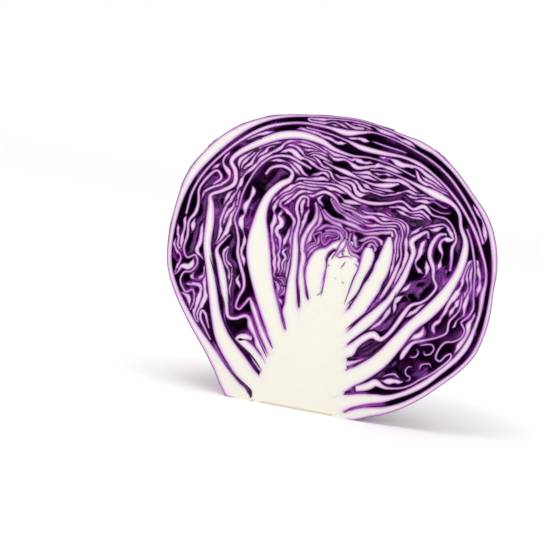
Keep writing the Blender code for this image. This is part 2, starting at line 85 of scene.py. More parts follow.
LEAVES = {
    "left_leaf_1": (
        (-14, 2, 5.2), (-23, 9.9, 4.4), (-31, 17.7, 4.3), (-40, 27.5, 3.7), (-45.5, 38, 2.6),
        (-49.2, 49, 2.3), (-52.8, 60, 2.0), (-56.2, 71, 2.0), (-57, 82, 2.2), (-58, 90, 1.7),
        (-59, 95, 1.0), (-54, 98.2, 1.0), (-49, 102.5, 1.2), (-49.5, 108.5, 1.2), (-52.3, 113, 1.2),
        (-49, 118, 1.4), (-41, 124, 1.8), (-32, 129.2, 2.1), (-22, 131.6, 2.0), (-12, 130.6, 1.6),
        (-5, 128, 1.1), (4, 126.6, 0.7), (13, 127.2, 0.5), (24, 125.8, 0.5), (36, 122.4, 0.5),
    ),
    "left_leaf_2": (
        (-13, 14, 3.0), (-20.4, 19.8, 2.8), (-25, 23.6, 1.8), (-31, 26.9, 0.9), (-33.6, 28.8, 0.7),
        (-30.5, 30.4, 0.7), (-26.6, 30, 0.6),
    ),
    "left_leaf_3": (
        (-14, 17, 1.8), (-20, 25.4, 1.5), (-23.6, 31, 1.0), (-26.8, 36, 1.0), (-29.6, 39.8, 0.9),
        (-32, 40.6, 0.8), (-36, 38.6, 0.9), (-39.6, 38.8, 1.0), (-41.4, 43, 1.2), (-43.6, 50, 1.8),
        (-46, 57, 2.0), (-48.4, 63, 1.7), (-51.2, 69.6, 1.0), (-48.5, 75, 0.6), (-46.4, 78, 0.5),
    ),
    "left_leaf_4": (
        (-12, 20, 2.0), (-17.8, 28, 1.5), (-21, 32.4, 1.3), (-24.8, 39, 1.2), (-28.4, 45.4, 1.0),
        (-31, 49.4, 0.8), (-33, 46.4, 0.6), (-35, 43.4, 0.6), (-37, 44.4, 0.6), (-36.5, 49, 0.7),
        (-35, 54, 0.8), (-36, 59, 0.9), (-38.6, 64.5, 0.9), (-41, 70, 0.9), (-41.8, 76, 0.8),
        (-43.6, 81.5, 0.7), (-45.6, 86, 0.6), (-44.6, 92, 0.6), (-44, 99, 0.6), (-42, 106, 0.6),
        (-38.8, 113, 0.6), (-33.5, 118.6, 0.7), (-26, 120.4, 0.8), (-19.5, 118.6, 0.8), (-14, 116.8, 0.6),
    ),
    "left_leaf_5": (
        (-9, 24, 5.0), (-14.6, 34, 4.0), (-18.7, 42, 4.3), (-23.6, 52, 5.0), (-28, 62, 5.5),
        (-31.2, 72, 6.0), (-32.6, 80, 5.1), (-33.4, 88, 3.3), (-33, 95, 2.4), (-31, 101, 2.1),
        (-27, 106.4, 1.8), (-23, 109.6, 1.4), (-22.8, 113.4, 0.9), (-27.5, 115.3, 0.9),
        (-32.6, 113.6, 0.8), (-35, 110, 0.7),
    ),
    "left_leaf_6": (
        (-6, 34, 4.0), (-9.8, 44, 3.2), (-11.2, 52, 2.8), (-12.6, 61, 2.0), (-13, 69, 1.6),
        (-14, 77, 1.5), (-15.2, 84, 1.2), (-15, 91, 0.9), (-17.3, 97, 1.0), (-16, 102.3, 0.9),
        (-12.8, 102.6, 0.7), (-12, 98.6, 0.6),
    ),
    "left_leaf_7": (
        (-1, 44, 3.0), (-5.6, 53, 2.0), (-7.8, 62, 1.5), (-9.2, 69, 1.2), (-10.3, 76, 1.1),
        (-11.2, 82, 1.1), (-9.6, 88, 1.3), (-7.3, 93, 1.2), (-7.4, 97.6, 0.8), (-8.8, 101.2, 0.6),
    ),
    "left_leaf_8": (
        (4, 50, 3.0), (-1.0, 58.4, 3.6), (-2.6, 65, 4.3), (-2.4, 71, 4.4), (-1.6, 75.6, 3.6),
        (1.2, 79.4, 1.2), (4.4, 82.8, 0.9), (7.2, 86.2, 0.9), (5.4, 89, 0.8), (1.6, 89.5, 0.7),
        (-1.4, 88.6, 0.6),
    ),
    "left_fold_1": (
        (-46, 26, 0.5), (-49.4, 30.6, 0.6), (-52.8, 35.6, 0.8), (-52.8, 39.2, 0.8), (-50.8, 38, 0.8),
        (-49, 34, 0.6), (-47.8, 31.4, 0.4),
    ),
    "left_fold_2": (
        (-58.4, 38.6, 0.5), (-57.4, 43.6, 0.5), (-59, 48.4, 0.6), (-61.8, 46.8, 0.6), (-63.8, 48.2, 0.6),
        (-65.8, 52, 0.6), (-64.8, 56, 0.6), (-61.4, 57.2, 0.6), (-59.2, 61.4, 0.6), (-61, 65.2, 0.6),
        (-64.6, 63.4, 0.6), (-67, 67.6, 0.6), (-66.4, 74, 0.8), (-67, 80.6, 0.7), (-64.6, 85.6, 1.0),
        (-64.2, 91, 0.8), (-65, 97, 0.7), (-62, 103.4, 0.8), (-58.4, 107.2, 0.7), (-55.6, 104.2, 0.8),
        (-58.6, 100.6, 0.6),
    ),
    "right_leaf_1": (
        (12, 50, 2.0), (16.6, 59, 2.0), (18.4, 66, 2.1), (20, 73, 2.1), (20.6, 79, 2.2),
        (20.6, 84.4, 1.6),
    ),
    "right_leaf_2": (
        (13, 40, 3.6), (19.0, 50.4, 3.4), (22.8, 57.6, 3.6), (26, 65.5, 3.7), (28.6, 74, 3.5),
        (29.8, 82, 3.1), (29.9, 88, 2.4), (29.6, 91.6, 0.8),
    ),
    "right_leaf_3": (
        (14, 34, 3.0), (21.0, 41.4, 2.6), (25.8, 47, 2.2), (30.8, 53.4, 1.8), (34.8, 60, 1.5),
        (37.8, 66.5, 1.6), (40.2, 73, 1.7), (41.6, 80, 1.4), (42.5, 86.5, 1.4), (40.6, 91.4, 1.5),
        (43.6, 95, 1.2), (47, 97.4, 0.8), (48.4, 94.6, 0.5),
    ),
    "right_leaf_4": (
        (14, 27, 2.4), (21.4, 34, 2.0), (25.6, 39.2, 1.5), (30.4, 42.6, 1.1), (35.4, 42.2, 0.8),
        (38.8, 45.6, 1.0), (41.4, 50.6, 1.2), (43.6, 55.6, 1.3), (46.4, 60.8, 1.0), (51.2, 63.4, 0.8),
        (54.6, 67, 0.8), (56.8, 72, 0.8), (54.6, 76, 0.8), (53.4, 81, 1.1), (50.6, 86.4, 1.2),
        (50.6, 92, 1.2), (53, 97, 1.0), (56.6, 98.2, 0.6),
    ),
    "right_leaf_5": (
        (15, 13, 4.4), (24, 19.8, 4.4), (30, 24.4, 4.0), (37, 31.4, 3.9), (42.8, 40.6, 3.6),
        (48.6, 50.6, 3.0), (54.8, 58.2, 3.3), (60, 66, 3.2), (63.8, 74.4, 2.5), (66.2, 82, 2.2),
        (67, 90, 2.0), (66.2, 96.6, 1.4), (62.8, 102.6, 1.0), (60.6, 109, 1.0), (56, 113.2, 1.2),
        (48, 115.8, 2.0), (40, 118, 1.2), (31, 120.6, 0.6), (22, 122.4, 0.5), (14, 121.8, 0.5),
    ),
    "right_leaf_6": (
        (18, 4, 3.6), (25.6, 8.2, 3.2), (33, 11, 1.9), (42, 13.1, 1.5), (51.6, 17.6, 1.4), (60, 23.8, 1.6),
        (67, 31.2, 1.3), (73.4, 39.2, 1.4), (77.4, 47, 1.5), (79.4, 56, 1.0), (80.2, 64, 1.0),
        (79.8, 72, 1.3), (80, 79, 0.8), (78.4, 86, 0.7), (75.2, 92.6, 0.8), (70.4, 101, 0.9),
        (64.8, 108.2, 0.8), (58.4, 115, 0.8), (51, 121, 0.7), (43, 126, 0.7), (36, 129, 1.0),
        (28, 130.6, 0.8), (18, 130.6, 1.2), (8, 131.2, 1.4), (0, 133.2, 0.6), (-9, 134.8, 0.5),
        (-20, 135.6, 0.5),
    ),
    "right_fold_1": (
        (28, 16.6, 0.6), (33, 18.4, 0.6), (37, 20.8, 0.6), (43, 19, 0.6), (50, 20.2, 0.6),
        (54.6, 22.8, 0.6), (58.4, 26.2, 0.6), (63, 29.8, 0.6), (67.4, 34.4, 0.7), (70.8, 39, 0.7),
        (70.2, 41.2, 0.6), (68, 39.6, 0.6), (66, 36.8, 0.6), (63.6, 38, 0.6), (64.2, 42.2, 0.6),
        (66.6, 46.2, 0.6), (70.8, 47.6, 0.6),
        (74, 50.4, 0.6), (74.6, 54, 0.6), (72.4, 57.4, 0.6), (74.8, 60.4, 0.6), (76.6, 65, 0.7),
        (75.6, 71, 0.6), (74.6, 77, 0.6), (73.6, 84, 0.6), (71.4, 91, 0.7), (68.8, 97.4, 0.6),
        (65.8, 102.4, 0.6),
    ),
    "crown_leaf_1": (
        (-69, 84, 0.6), (-68, 95, 0.7), (-64, 105.4, 0.7), (-57.4, 115.2, 0.7), (-49.4, 124, 0.8),
        (-40.8, 130.8, 1.0), (-33, 134.6, 0.8), (-22, 137.4, 0.7), (-10, 137.6, 0.8), (-1, 136.8, 1.6),
        (6, 138.2, 1.0), (13, 139.4, 0.5), (24, 137.6, 0.5), (34, 134.6, 0.6), (44, 130.6, 0.6),
        (53, 124.8, 0.7), (61.6, 116.6, 0.7), (69.4, 107, 0.7), (75, 97, 0.7),
    ),
    "crown_leaf_2": (
        (-9, 121.4, 0.5), (-3, 119.4, 0.7), (3, 118.2, 1.3), (10, 116.4, 0.5), (17, 115, 0.8),
        (23.6, 115.8, 1.4), (29, 117.6, 0.5),
    ),
    "crown_leaf_3": (
        (-16, 110, 0.6), (-9, 110.6, 0.6), (-2, 111.4, 0.6), (4, 110, 1.1), (10, 106.8, 0.9),
        (18, 106, 1.0), (26, 107.6, 0.8), (32, 109.6, 0.7), (38, 107, 0.8), (43, 109.2, 1.2),
        (48, 106, 0.6), (54.6, 105.4, 0.6), (58.8, 102, 0.6), (61.6, 96.6, 0.7), (60.6, 92, 1.0),
        (61.4, 86, 0.8), (61.8, 81, 0.6),
    ),
    "crown_leaf_4": (
        (-9.6, 104.8, 0.7), (-5.4, 107, 1.0), (-0.4, 105.4, 0.8), (3.6, 101.6, 0.6), (9, 100.6, 0.7),
        (15, 98.8, 0.9), (19.8, 99.4, 1.0), (25, 97.6, 0.7), (32, 98.8, 0.6), (35.4, 94.6, 0.6),
        (35.8, 88.6, 0.6), (37, 83, 0.6), (36, 77, 0.6), (34.4, 70, 0.6), (32, 63.6, 0.5),
    ),
    "crown_leaf_5": (
        (-4.4, 98.6, 0.5), (0, 95.6, 0.7), (5, 94.8, 0.8), (11.4, 93.8, 1.2), (17, 92.4, 0.6),
        (23, 94.2, 0.6), (27, 95, 0.6),
    ),
    "heart_leaf_1": (
        (-9.8, 76.6, 0.35), (-8, 80.6, 0.4), (-5, 82.4, 0.4), (-6.6, 85.4, 0.4), (-3.4, 87.6, 0.4),
        (-2.4, 84, 0.45), (-0.4, 82, 0.5), (1.8, 85.4, 0.4),
    ),
    "heart_leaf_2": (
        (10.8, 90, 0.5), (10.9, 86, 0.7), (12.8, 82.9, 0.7), (15.4, 81.8, 0.6), (17.2, 83.8, 0.6),
        (18.4, 86.4, 0.5), (22, 88.4, 0.6), (25, 86, 0.5),
    ),
}

# Skin lines between ribs that are pressed together: x, z and half width
SEAMS = (
    ((-21.4, 1.5, 2.0), (-21.8, 3.4, 1.5), (-23.8, 5.9, 0.9), (-27, 8.1, 0.7), (-30.4, 10.4, 0.6),
     (-35.6, 14.8, 0.6), (-40, 19.4, 0.6), (-45, 26, 0.5)),
    ((-18.4, 15.6, 0.3), (-25, 22, 0.3), (-33, 27.2, 0.3), (-37, 31, 0.3), (-41, 37, 0.3), (-43, 45, 0.3),
     (-47, 52, 0.3), (-54, 66, 0.25)),
    ((-17.4, 22.6, 0.35), (-24, 32, 0.35), (-29, 41.5, 0.4)),
    ((-15.4, 27.4, 0.35), (-20, 34, 0.35), (-24, 40, 0.35), (-27, 46, 0.3), (-31, 50, 0.3)),
    ((-10.6, 37.2, 0.55), (-14, 44, 0.45), (-18, 52, 0.4), (-21, 58, 0.3)),
    ((-6.2, 49, 0.3), (-8.2, 57, 0.3), (-10.5, 64, 0.3), (-11, 76, 0.3)),
    ((-3, 54.6, 0.35), (-6, 62, 0.35), (-8, 68, 0.3), (-7, 74, 0.3)),
    ((0.4, 56.8, 0.3), (2.4, 59.6, 0.2), (2.6, 66, 0.12), (2.3, 73, 0.14), (2.2, 78, 0.3), (4.6, 81, 0.3)),
    ((2.4, 57, 0.25), (3.0, 59.6, 0.15)),
    ((14.4, 55.6, 0.3), (15.2, 60, 0.12), (16.4, 68, 0.14), (17.8, 74, 0.25), (18, 82, 0.3)),
    ((17.8, 53.2, 0.3), (17, 56.4, 0.2)),
    ((9.2, 72, 0.15), (10.4, 74.4, 0.5), (11, 75.8, 0.2)),
    ((3, 71.8, 0.3), (3.6, 73, 0.3)),
    ((7.4, 66.7, 0.25), (8.1, 67.1, 0.25)),
    ((11.2, 65.9, 0.2), (12.5, 65.1, 0.3)),
    ((4.2, 75.6, 0.2), (4.7, 77.2, 0.6), (5, 78.4, 0.2)),
    ((15.2, 75.6, 0.2), (16.6, 75.2, 0.5), (17.6, 74, 0.3)),
    ((16.2, 76.8, 0.3), (17.2, 78.8, 0.5), (17.6, 80, 0.2)),
    ((14, 77.6, 0.2), (12, 78.6, 0.25), (9.6, 78, 0.3), (7.2, 77.2, 0.3), (6.2, 79, 0.3)),
    ((15.8, 55.4, 0.3), (20, 62, 0.35), (22, 70, 0.35), (25, 78, 0.3)),
    ((17.6, 43.4, 0.3), (27, 55, 0.3), (30, 62, 0.3), (31, 70, 0.3)),
    ((19.6, 36.4, 0.3), (30, 48, 0.3), (37, 60, 0.3), (38, 66, 0.3)),
    ((20.6, 29.6, 0.3), (25, 30.6, 0.3), (31, 32, 0.3), (37, 38.6, 0.3)),
    ((21.4, 23.4, 0.45), (25, 27, 0.3), (30, 31, 0.25)),
    ((22.6, 11.6, 0.4), (30, 13.8, 0.4), (36, 15, 0.4)),
    ((24.6, 2.6, 0.5), (28, 5.6, 0.5), (35, 8.6, 0.6), (45, 11.2, 0.5)),
)

# Single folds that stand out between the large leaves: x, z and half thickness
FOLDS = (
    ((46.8, 33.7, 1.0), (48.2, 38, 1.4), (51, 42.8, 1.0), (55, 44.8, 0.8), (59, 46.4, 0.6), (63.2, 48.4, 0.6),
     (66.4, 51.2, 0.7), (66.6, 56.6, 0.7), (69.2, 60.9, 0.6), (70.4, 64.4, 0.6), (70, 71, 0.6)),
    ((54.6, 42.2, 0.5), (57.4, 43.4, 0.5), (60.4, 43.9, 0.5), (61.9, 42.1, 0.5), (60.8, 39.4, 0.5),
     (58.2, 38.4, 0.5), (57.2, 40.2, 0.4)),
    ((53.6, 31.4, 0.4), (51.4, 31, 0.45), (50.4, 28.8, 0.5), (51.4, 26.8, 0.5), (53, 26.4, 0.5),
     (53.2, 24.8, 0.45), (51.4, 23.8, 0.4)),
    ((57, 30.4, 0.45), (57.6, 33.2, 0.5), (61, 34.4, 0.5), (62.6, 32.8, 0.4)),
    ((39.8, 23.6, 0.4), (42.5, 25.4, 0.5), (45.6, 26.2, 0.6), (48.2, 24.4, 0.5)),
    ((50.8, 35.8, 0.4), (53.6, 36.4, 0.5), (54.8, 38.8, 0.5), (53.6, 40.4, 0.4)),
    ((45.4, 112.4, 0.3), (48.2, 112.2, 0.4), (52.5, 110.6, 0.4), (55, 110.8, 0.3)),
    ((44.8, 110.2, 0.3), (48.2, 108.6, 0.4), (52.5, 107.8, 0.4), (56.8, 108.4, 0.3)),
    ((12, 135.2, 0.4), (19, 134.2, 0.5), (26, 133.4, 0.5), (30, 132.8, 0.4)),
    ((17, 26.4, 1.6), (22, 27.1, 1.3), (27, 29.4, 0.8), (32, 32.6, 0.6)),
    ((18, 13.8, 1.3), (22.4, 14.2, 1.0), (27, 15.4, 0.4)),
)

# Tiny leaves round the growing tip, in the terms of the large leaves
TIP_LEAVES = (
    ((5.6, 77.6, 0.7), (6.8, 80.4, 1.1), (8, 83.4, 1.7), (9, 86.4, 0.7)),
    ((9.8, 85.4, 0.4), (11.4, 82.4, 0.7), (13.2, 80.2, 1.0), (15.8, 79.6, 0.8), (17.4, 79, 0.4)),
    ((9.4, 78.6, 0.5), (8.6, 79.8, 0.4), (9.6, 81.4, 0.3)),
)

# Hollows between the blades: x, z, half width, half height and spacing of the blades there
HOLLOWS = (
    (-39, 105, 5, 8, 4.5), (-28, 112, 3, 2.5, 3.5), (-35, 35, 4, 3.5, 4.5), (-50, 73, 3, 2.5, 4),
    (-47, 82, 3, 3, 3.5), (-64, 50, 4, 4, 4), (-52, 45, 3.5, 4, 4), (-69, 88, 2.5, 6, 3),
    (-64, 71, 2.5, 5, 3), (-27, 94, 2.5, 3, 3.5), (-22, 87, 3, 4, 3.5), (-3, 101, 3, 3, 3.5),
    (-12, 97, 2, 3, 3), (2, 122.5, 7, 1.6, 3.5), (2, 129, 6, 1.5, 3.2), (15, 137, 9, 2, 3.5),
    (20, 133, 12, 1.5, 2.6), (30, 133.5, 5, 2, 2.8), (38, 132, 4, 3, 2.2), (43, 127, 4, 3, 2.2),
    (52, 121.5, 5, 1.5, 2.2), (63, 116, 5, 2, 2.2), (30, 115, 3, 3, 2.6), (52, 110, 7, 2.5, 3),
    (58, 97, 3, 3, 3.2), (57, 83, 5, 3, 3.5), (47, 85, 2.5, 8, 3.2), (47, 73, 2.5, 6, 3.2),
    (53, 67, 3, 3, 3), (60, 50, 6, 6, 3.2), (70, 54, 4, 5, 3), (50, 30, 6, 6, 3.2), (60, 38, 7, 5, 3.2),
    (45, 25, 4, 4, 3.2), (68, 44, 4, 4, 3.2), (38, 9, 10, 1.5, 4), (76, 88, 2.5, 4, 3), (77, 67, 2.5, 4, 3),
    (-56, 104, 3, 3, 3),
)
# Tight bundles of blades, in the same terms
BUNDLES = (
    (15, 99, 22, 5, 1.2), (-19, 60, 5, 22, 1.1), (34, 72, 4, 14, 1.1), (-45, 93, 4, 10, 1.45),
    (-48, 126, 16, 9, 1.35), (70, 108, 9, 14, 1.45), (9, 89, 15, 5, 1.0), (-20, 124, 16, 4, 1.45),
    (15, 120, 20, 4, 1.6), (38, 100, 10, 5, 1.4), (0, 142, 40, 3, 1.2), (72, 75, 4, 14, 1.6),
    (-58, 58, 4, 12, 1.5), (-7, 83, 5, 6, 0.95), (24, 80, 3, 8, 1.2),
)
# Where the blades fold most: x, z, half width, half height and strength
CRUMPLES = (
    (-19, 60, 6, 22, 1.3), (-64, 58, 9, 18, 1.5), (60, 42, 16, 18, 1.6), (-36, 55, 5, 12, 1.0),
    (48, 70, 10, 14, 1.1), (40, 122, 10, 8, 0.8), (-35, 105, 10, 12, 0.9), (8, 86, 18, 7, 1.6),
    (55, 88, 8, 12, 1.0), (34, 72, 4, 14, 1.0), (-22, 92, 6, 12, 1.1), (-60, 85, 8, 12, 1.0),
    (-6, 112, 14, 10, 0.7),
)

# The flow of the blades over the cut
GRID = 0.5               # spacing of the flow field
GRID_LOW = (-84.0, -4.0)
GRID_HIGH = (94.0, 152.0)
FLOW_PASSES = 700        # smoothing passes of the flow field
PIN_LINES = 9            # lines along each large leaf that fix the flow
BLADE_SPACING = 1.65
PLAIN_CRUMPLE = 0.45
BROAD_TURN = 0.75        # turns of a full crumple, in radians
FINE_TURN = 0.5
LEAST_FREEDOM = 0.2      # share of the crumple beside a large leaf
FREE_REACH = 4.0         # from the large leaves, where the crumple is whole
GAP_PASSES = 12          # over the grid, to measure that reach
FAR = 99.0
OUTLINE_SHARE = 0.99     # of the way out, where the blades end
BLADES_ABOVE = 7.0
CORE_CLEAR_TOP = 60.0
FLANK_MARGIN = 2.5       # kept clear of blades beside the core
TIP_MARGIN = 0.3         # and above CORE_CLEAR_TOP

# The growth of the blades
STEP = 0.4               # along a blade while it grows
BUCKET = 1.5             # cells of the lookup of points that are already taken
LEAF_EXTRA = 0.35        # how much nearer than to a blade one may come to a large leaf
EDGE_EXTRA = 0.5         # and to the core or the outline
FIRST_GAP = 0.9          # from a large leaf to the place where its neighbour starts
SEED_EVERY = 3           # points between the places where neighbours start
START_SHARE = 0.98       # of the spacing that is clear where a blade starts
LEAST_NEED = 0.48        # that is clear where it goes on
OWN_STEPS = 9            # its own last steps, which don't stand in its way
MOST_STEPS = 700
SHORT_BLADE = 6.0
FIRST_BLADE = 10.0       # shortest blade that starts beside another
LATE_PLACES = 6000       # random places tried at the end
LATE_HIGH = (93.0, 151.0)
LATE_SEED = 7

# The folds that join the ends of blades
END_STEPS = 5            # over which the heading of an end is taken
JOIN_LEAST = 0.5         # nearest and farthest that two ends may be
JOIN_REACH = 3.6
SELF_JOIN = 14.0         # shortest blade whose own two ends may join
TURN_BACK = 0.2          # least cosine between headings that fold back
RUN_ON = -0.4            # and most where one blade runs on into the next
RUN_ON_HANDICAP = 0.8    # added to the gap, so that folds come first
TURN_STIFFNESS = 0.9
RUN_ON_STIFFNESS = 0.4
BEND_PULL = 0.2
BEND_NEED = 0.34         # that is clear along a fold
STRING_PASSES = 2

# The thickness of the blades
BLADE_HALF = 0.98        # half thickness of a blade that has room
BLADE_VARIES = 0.3       # share by which that varies
SWELLING = 0.8           # added where a blade swells
BLADE_LEAST = 0.35
BLADE_MOST = 1.6
ROOM_LEAST = 0.1
ROOM_MOST = 1.7
SHARED_GAP = 0.5         # share of the gap to another blade that a blade may fill
SKIN_CREVICE = 0.045     # between blades that are pressed together
NEAR_STEPS = 8           # its own points nearest by, which aren't neighbours
CROWD_SLANT = 0.9        # how far ahead a neighbour may be, as a share of how far aside
SLANT_EXTRA = 0.25
BLADE_TAPER = 4.0        # length over which a blade's end thins
END_SHARE = 0.12         # of the thickness left at the end
BLADE_SEED = 5
CUT_RECESS = (0.1, 0.6)  # how far behind the cut the face of a blade is
UNCUT_SHARE = 0.20       # share of the blades that lie just behind the cut, skin outwards
UNCUT_RECESS = (0.9, 1.8)
UNCUT_FLESH = 0.12

# Ribs near the core, which swell until they meet
RIB_REACH = 9.0          # from the core, up to which they swell fully
RIB_REACH_END = 24.0
RIB_TOP = 84.0
RIB_LEAST = 0.25
RIB_MOST = 4.6
RIB_ALONE = 0.4          # swelling of a rib that has nothing beside it
RIB_SLANT = 0.7
RIB_SEARCH = 2.2         # search reach in widest ribs

# Depths of the rings of a ribbon behind the cut, before they bend round the head
BLADE_DEPTHS = (0.0, 0.8, 2.0, 4.0, 7.0, 11.0, 17.0, 26.0)
LEAF_DEPTHS = BLADE_DEPTHS + (42.0, 64.0, 92.0)
SEAM_DEPTHS = (0.0, 1.5)
MEAN_RADIUS = 78.0       # of the head
WRAPPER_ANGLES = np.concatenate(((0.0, 0.6, 1.4, 2.6), np.arange(4.0, 66.0, 1.25)))
WRAPPER_DEPTHS = MEAN_RADIUS * np.tan(np.radians(WRAPPER_ANGLES))
LEAST_RADIUS = 7.0       # round the heart, which the rings bend about less sharply
SHEAR = 1.3              # sideways drift of the leaves behind the cut
SHEAR_DEPTH = 4.0
STILL_RIM = 0.14         # share of the way in over which the drift starts
SEAM_LIFT = 0.34         # of the seams in front of the ribs
SEAM_TAPER = 9.0         # samples over which a seam's end thins
SEAM_END = 0.1
FOLD_RECESS = 0.2
FOLD_TAPER = 2.0         # length over which the end of a single fold thins
FOLD_END = 0.3
TIP_LIFT = 0.36
LEAF_LIFT = 0.01         # from one large leaf to the next, so that no two faces coincide

# Flesh, by its depth in mm under the skin
CORE_FADE = 3.0          # over which the skin lines fade towards the core
FLESH_NEAR_CORE = 0.13
FLESH_IN_CORE = 0.6
CORE_RECESS = 0.05       # of the core behind the ribs on the cut
CORE_LEVELS = np.concatenate((np.arange(0.0, 84.0, 1.0), (84.4, 85.2, 85.9)))
CORE_TURNS = 33
CORE_COLUMNS = 21

# Veins and relief of the outside
VEIN_STEP = 1.3
VEIN_LENGTHS = (200.0, 64.0, 24.0)
VEIN_WIDTHS = (3.2, 1.7, 1.3)
VEIN_THINS = 0.7         # share of its width that a vein loses on its way
VEIN_GAPS = (10, 6)      # steps between branches
VEIN_WANDER = 0.02
VEIN_ANGLES = (38.0, 58.0)
VEIN_BENDS_BACK = 0.6    # share of its angle by which a branch bends back
BRANCH_SHORTENS = 0.55
BRANCH_VARIES = (0.7, 1.1)
VEIN_RISE = 0.34
VEIN_FLANK = 0.75        # reach of a ridge in widths of its vein
PUCKER = 0.55
DENT = 0.5
DENT_WIDTH = 0.16
RELIEF_LIFT = 0.85       # keeps the dents clear of the leaves inside
RELIEF_FADE = 13.0       # depth over which the relief of the outside rises from the cut
RAGGED = 4.0
RAGGED_LENGTH = 24.0
RAGGED_DEPTH = 8.0

# The back leaf: its half width in degrees at angles up the back, from its foot to the crown
BACK_ANGLES = (-72, -66, -61, -54, -42, -28, -13, 2, 17, 32, 47, 62, 76)
BACK_HALF_WIDTHS = (15, 16, 19, 25, 35, 42, 47, 49, 48, 45, 41, 35, 25)
BACK_ROWS = 150
BACK_COLUMNS = 111
BACK_CROWDING = 1.25     # how much closer the columns are at its margins
BACK_TOP = 74.0          # angle at which the leaf ends on the crown
BACK_TOP_WAVE = 1.6
BACK_SIDE_WAVE = 2.0
BACK_GAP = 0.9           # over the leaves under it
BACK_BLADE = 0.8
BACK_THINNEST = 0.25
BACK_RIB = 4.0
BACK_RIB_WIDTH = 0.10    # as a share of the half width, and how much it widens at the foot
BACK_RIB_SPREAD = 0.9
BACK_CURL = 0.9
BACK_CURL_SIDE = 0.14    # share of the half width that curls
BACK_CURL_TOP = 0.05     # share of the length that curls
BACK_CROWN = (50.0, 25.0)    # angle where the leaf starts to lie flat, and over how many degrees
BACK_FLAT_GAP = 0.6      # shares of its gap, blade and relief that it loses there
BACK_FLAT_BLADE = 0.4
BACK_FLAT_RELIEF = 0.85
BACK_RELIEF = 0.9

# The folded skins seen down between the blades
FOLD_GRID = 0.6
FOLD_SHALLOW = 0.6       # their depth in a narrow gap
FOLD_DEEP = 16.0         # and in a hollow
FOLD_NARROW = 0.32       # distance from the blades at which a gap starts to deepen
FOLD_RIPPLE = 0.25
FOLD_THICKNESS = 0.6
FOLD_LOWEST = 3.0
FOLD_OUTLINE = 0.955     # share of the way out where they end
FOLD_OFF_CORE = 0.5
FOLD_MARGIN = 1.0        # inside the middle lines of the outer leaves


def eased(share):
    """A share of the way with a soft start and end."""
    return share * share * (3.0 - 2.0 * share)


def profile_at(radii, heights):
    """Radius of one profile of the head at angles of height, in degrees."""
    last = len(PROFILE_ANGLES) - 1
    spacing = PROFILE_ANGLES[1] - PROFILE_ANGLES[0]
    place = np.clip((heights - PROFILE_ANGLES[0]) / spacing, 0.0, last)
    index = np.minimum(place.astype(int), last - 1)
    share = eased(place - index)
    return radii[index] * (1.0 - share) + radii[index + 1] * share


def head_radius(directions):
    """Distance in mm from the middle of the head to its skin, along rows of unit directions."""
    heights = np.degrees(np.arcsin(np.clip(directions[:, 2], -1.0, 1.0)))
    level = np.maximum(np.hypot(directions[:, 0], directions[:, 1]), TINY)
    backness = (directions[:, 1] / level) ** 2
    left = profile_at(LEFT_RADII, heights)
    side = np.where(directions[:, 0] < 0.0, left, profile_at(RIGHT_RADII, heights))
    radius = side * (1.0 - backness) + profile_at(BACK_RADII, heights) * backness
    drop = np.maximum(-directions[:, 2], 0.1)
    floor_radius = (HEART_Z - BASE_LIFT * backness) / drop
    return np.where(directions[:, 2] < -0.1, np.minimum(radius, floor_radius), radius)


def carry_back(points, turns):
    """Carry points of the cut back round the head by angles in radians; result in metres."""
    across = points[:, 0] - HEART_X
    up = points[:, 1] - HEART_Z
    length = np.maximum(np.hypot(across, up), TINY)
    flat = np.stack((across / length, np.zeros(len(points)), up / length), 1)
    direction = flat * np.cos(turns)[:, None]
    direction[:, 1] = np.sin(turns)
    radius = length * head_radius(direction) / head_radius(flat)
    place = direction * radius[:, None] + (HEART_X, -CUT_SETBACK, HEART_Z)
    place[:, 2] = np.maximum(place[:, 2], 0.0)
    return place * MM


def carry_to_depth(points, depth):
    """Carry points of the cut back to a depth behind it; result in metres."""
    length = np.hypot(points[:, 0] - HEART_X, points[:, 1] - HEART_Z)
    return carry_back(points, np.arctan2(depth, np.maximum(length, LEAST_RADIUS)))


def rim_points(count):
    """Points round the outline of the cut."""
    angles = np.linspace(0.0, math.tau, count, endpoint=False)
    directions = np.stack((np.cos(angles), np.zeros(count), np.sin(angles)), 1)
    radius = head_radius(directions)
    return np.stack((HEART_X + directions[:, 0] * radius, HEART_Z + directions[:, 2] * radius), 1)


def rim_share(x, z):
    """How far out points of the cut are, 1 at the outline."""
    across = (x - HEART_X).ravel()
    up = (z - HEART_Z).ravel()
    length = np.maximum(np.hypot(across, up), TINY)
    directions = np.stack((across / length, np.zeros(len(across)), up / length), 1)
    return (length / head_radius(directions)).reshape(np.shape(x))


def inside_wrappers(x, z, wrappers, margin=0.0):
    """True for points of the cut a margin in mm inside the middle lines of the outer leaves."""
    offsets = np.vstack([curve[:, :2] for curve in wrappers]) - (HEART_X, HEART_Z)
    angles = np.arctan2(offsets[:, 1], offsets[:, 0])
    length = np.hypot(offsets[:, 0], offsets[:, 1])
    limit = np.interp(np.arctan2(z - HEART_Z, x - HEART_X), angles, length, period=math.tau)
    return np.hypot(x - HEART_X, z - HEART_Z) < limit - margin


def core_depth(x, z):
    """How far inside the flanks of the core points of the cut are, negative outside."""
    left = np.interp(z, CORE_FLANKS[:, 0], CORE_FLANKS[:, 1])
    right = np.interp(z, CORE_FLANKS[:, 0], CORE_FLANKS[:, 2])
    return np.minimum(np.minimum(x - left, right - x), CORE_FLANKS[-1, 0] - z)


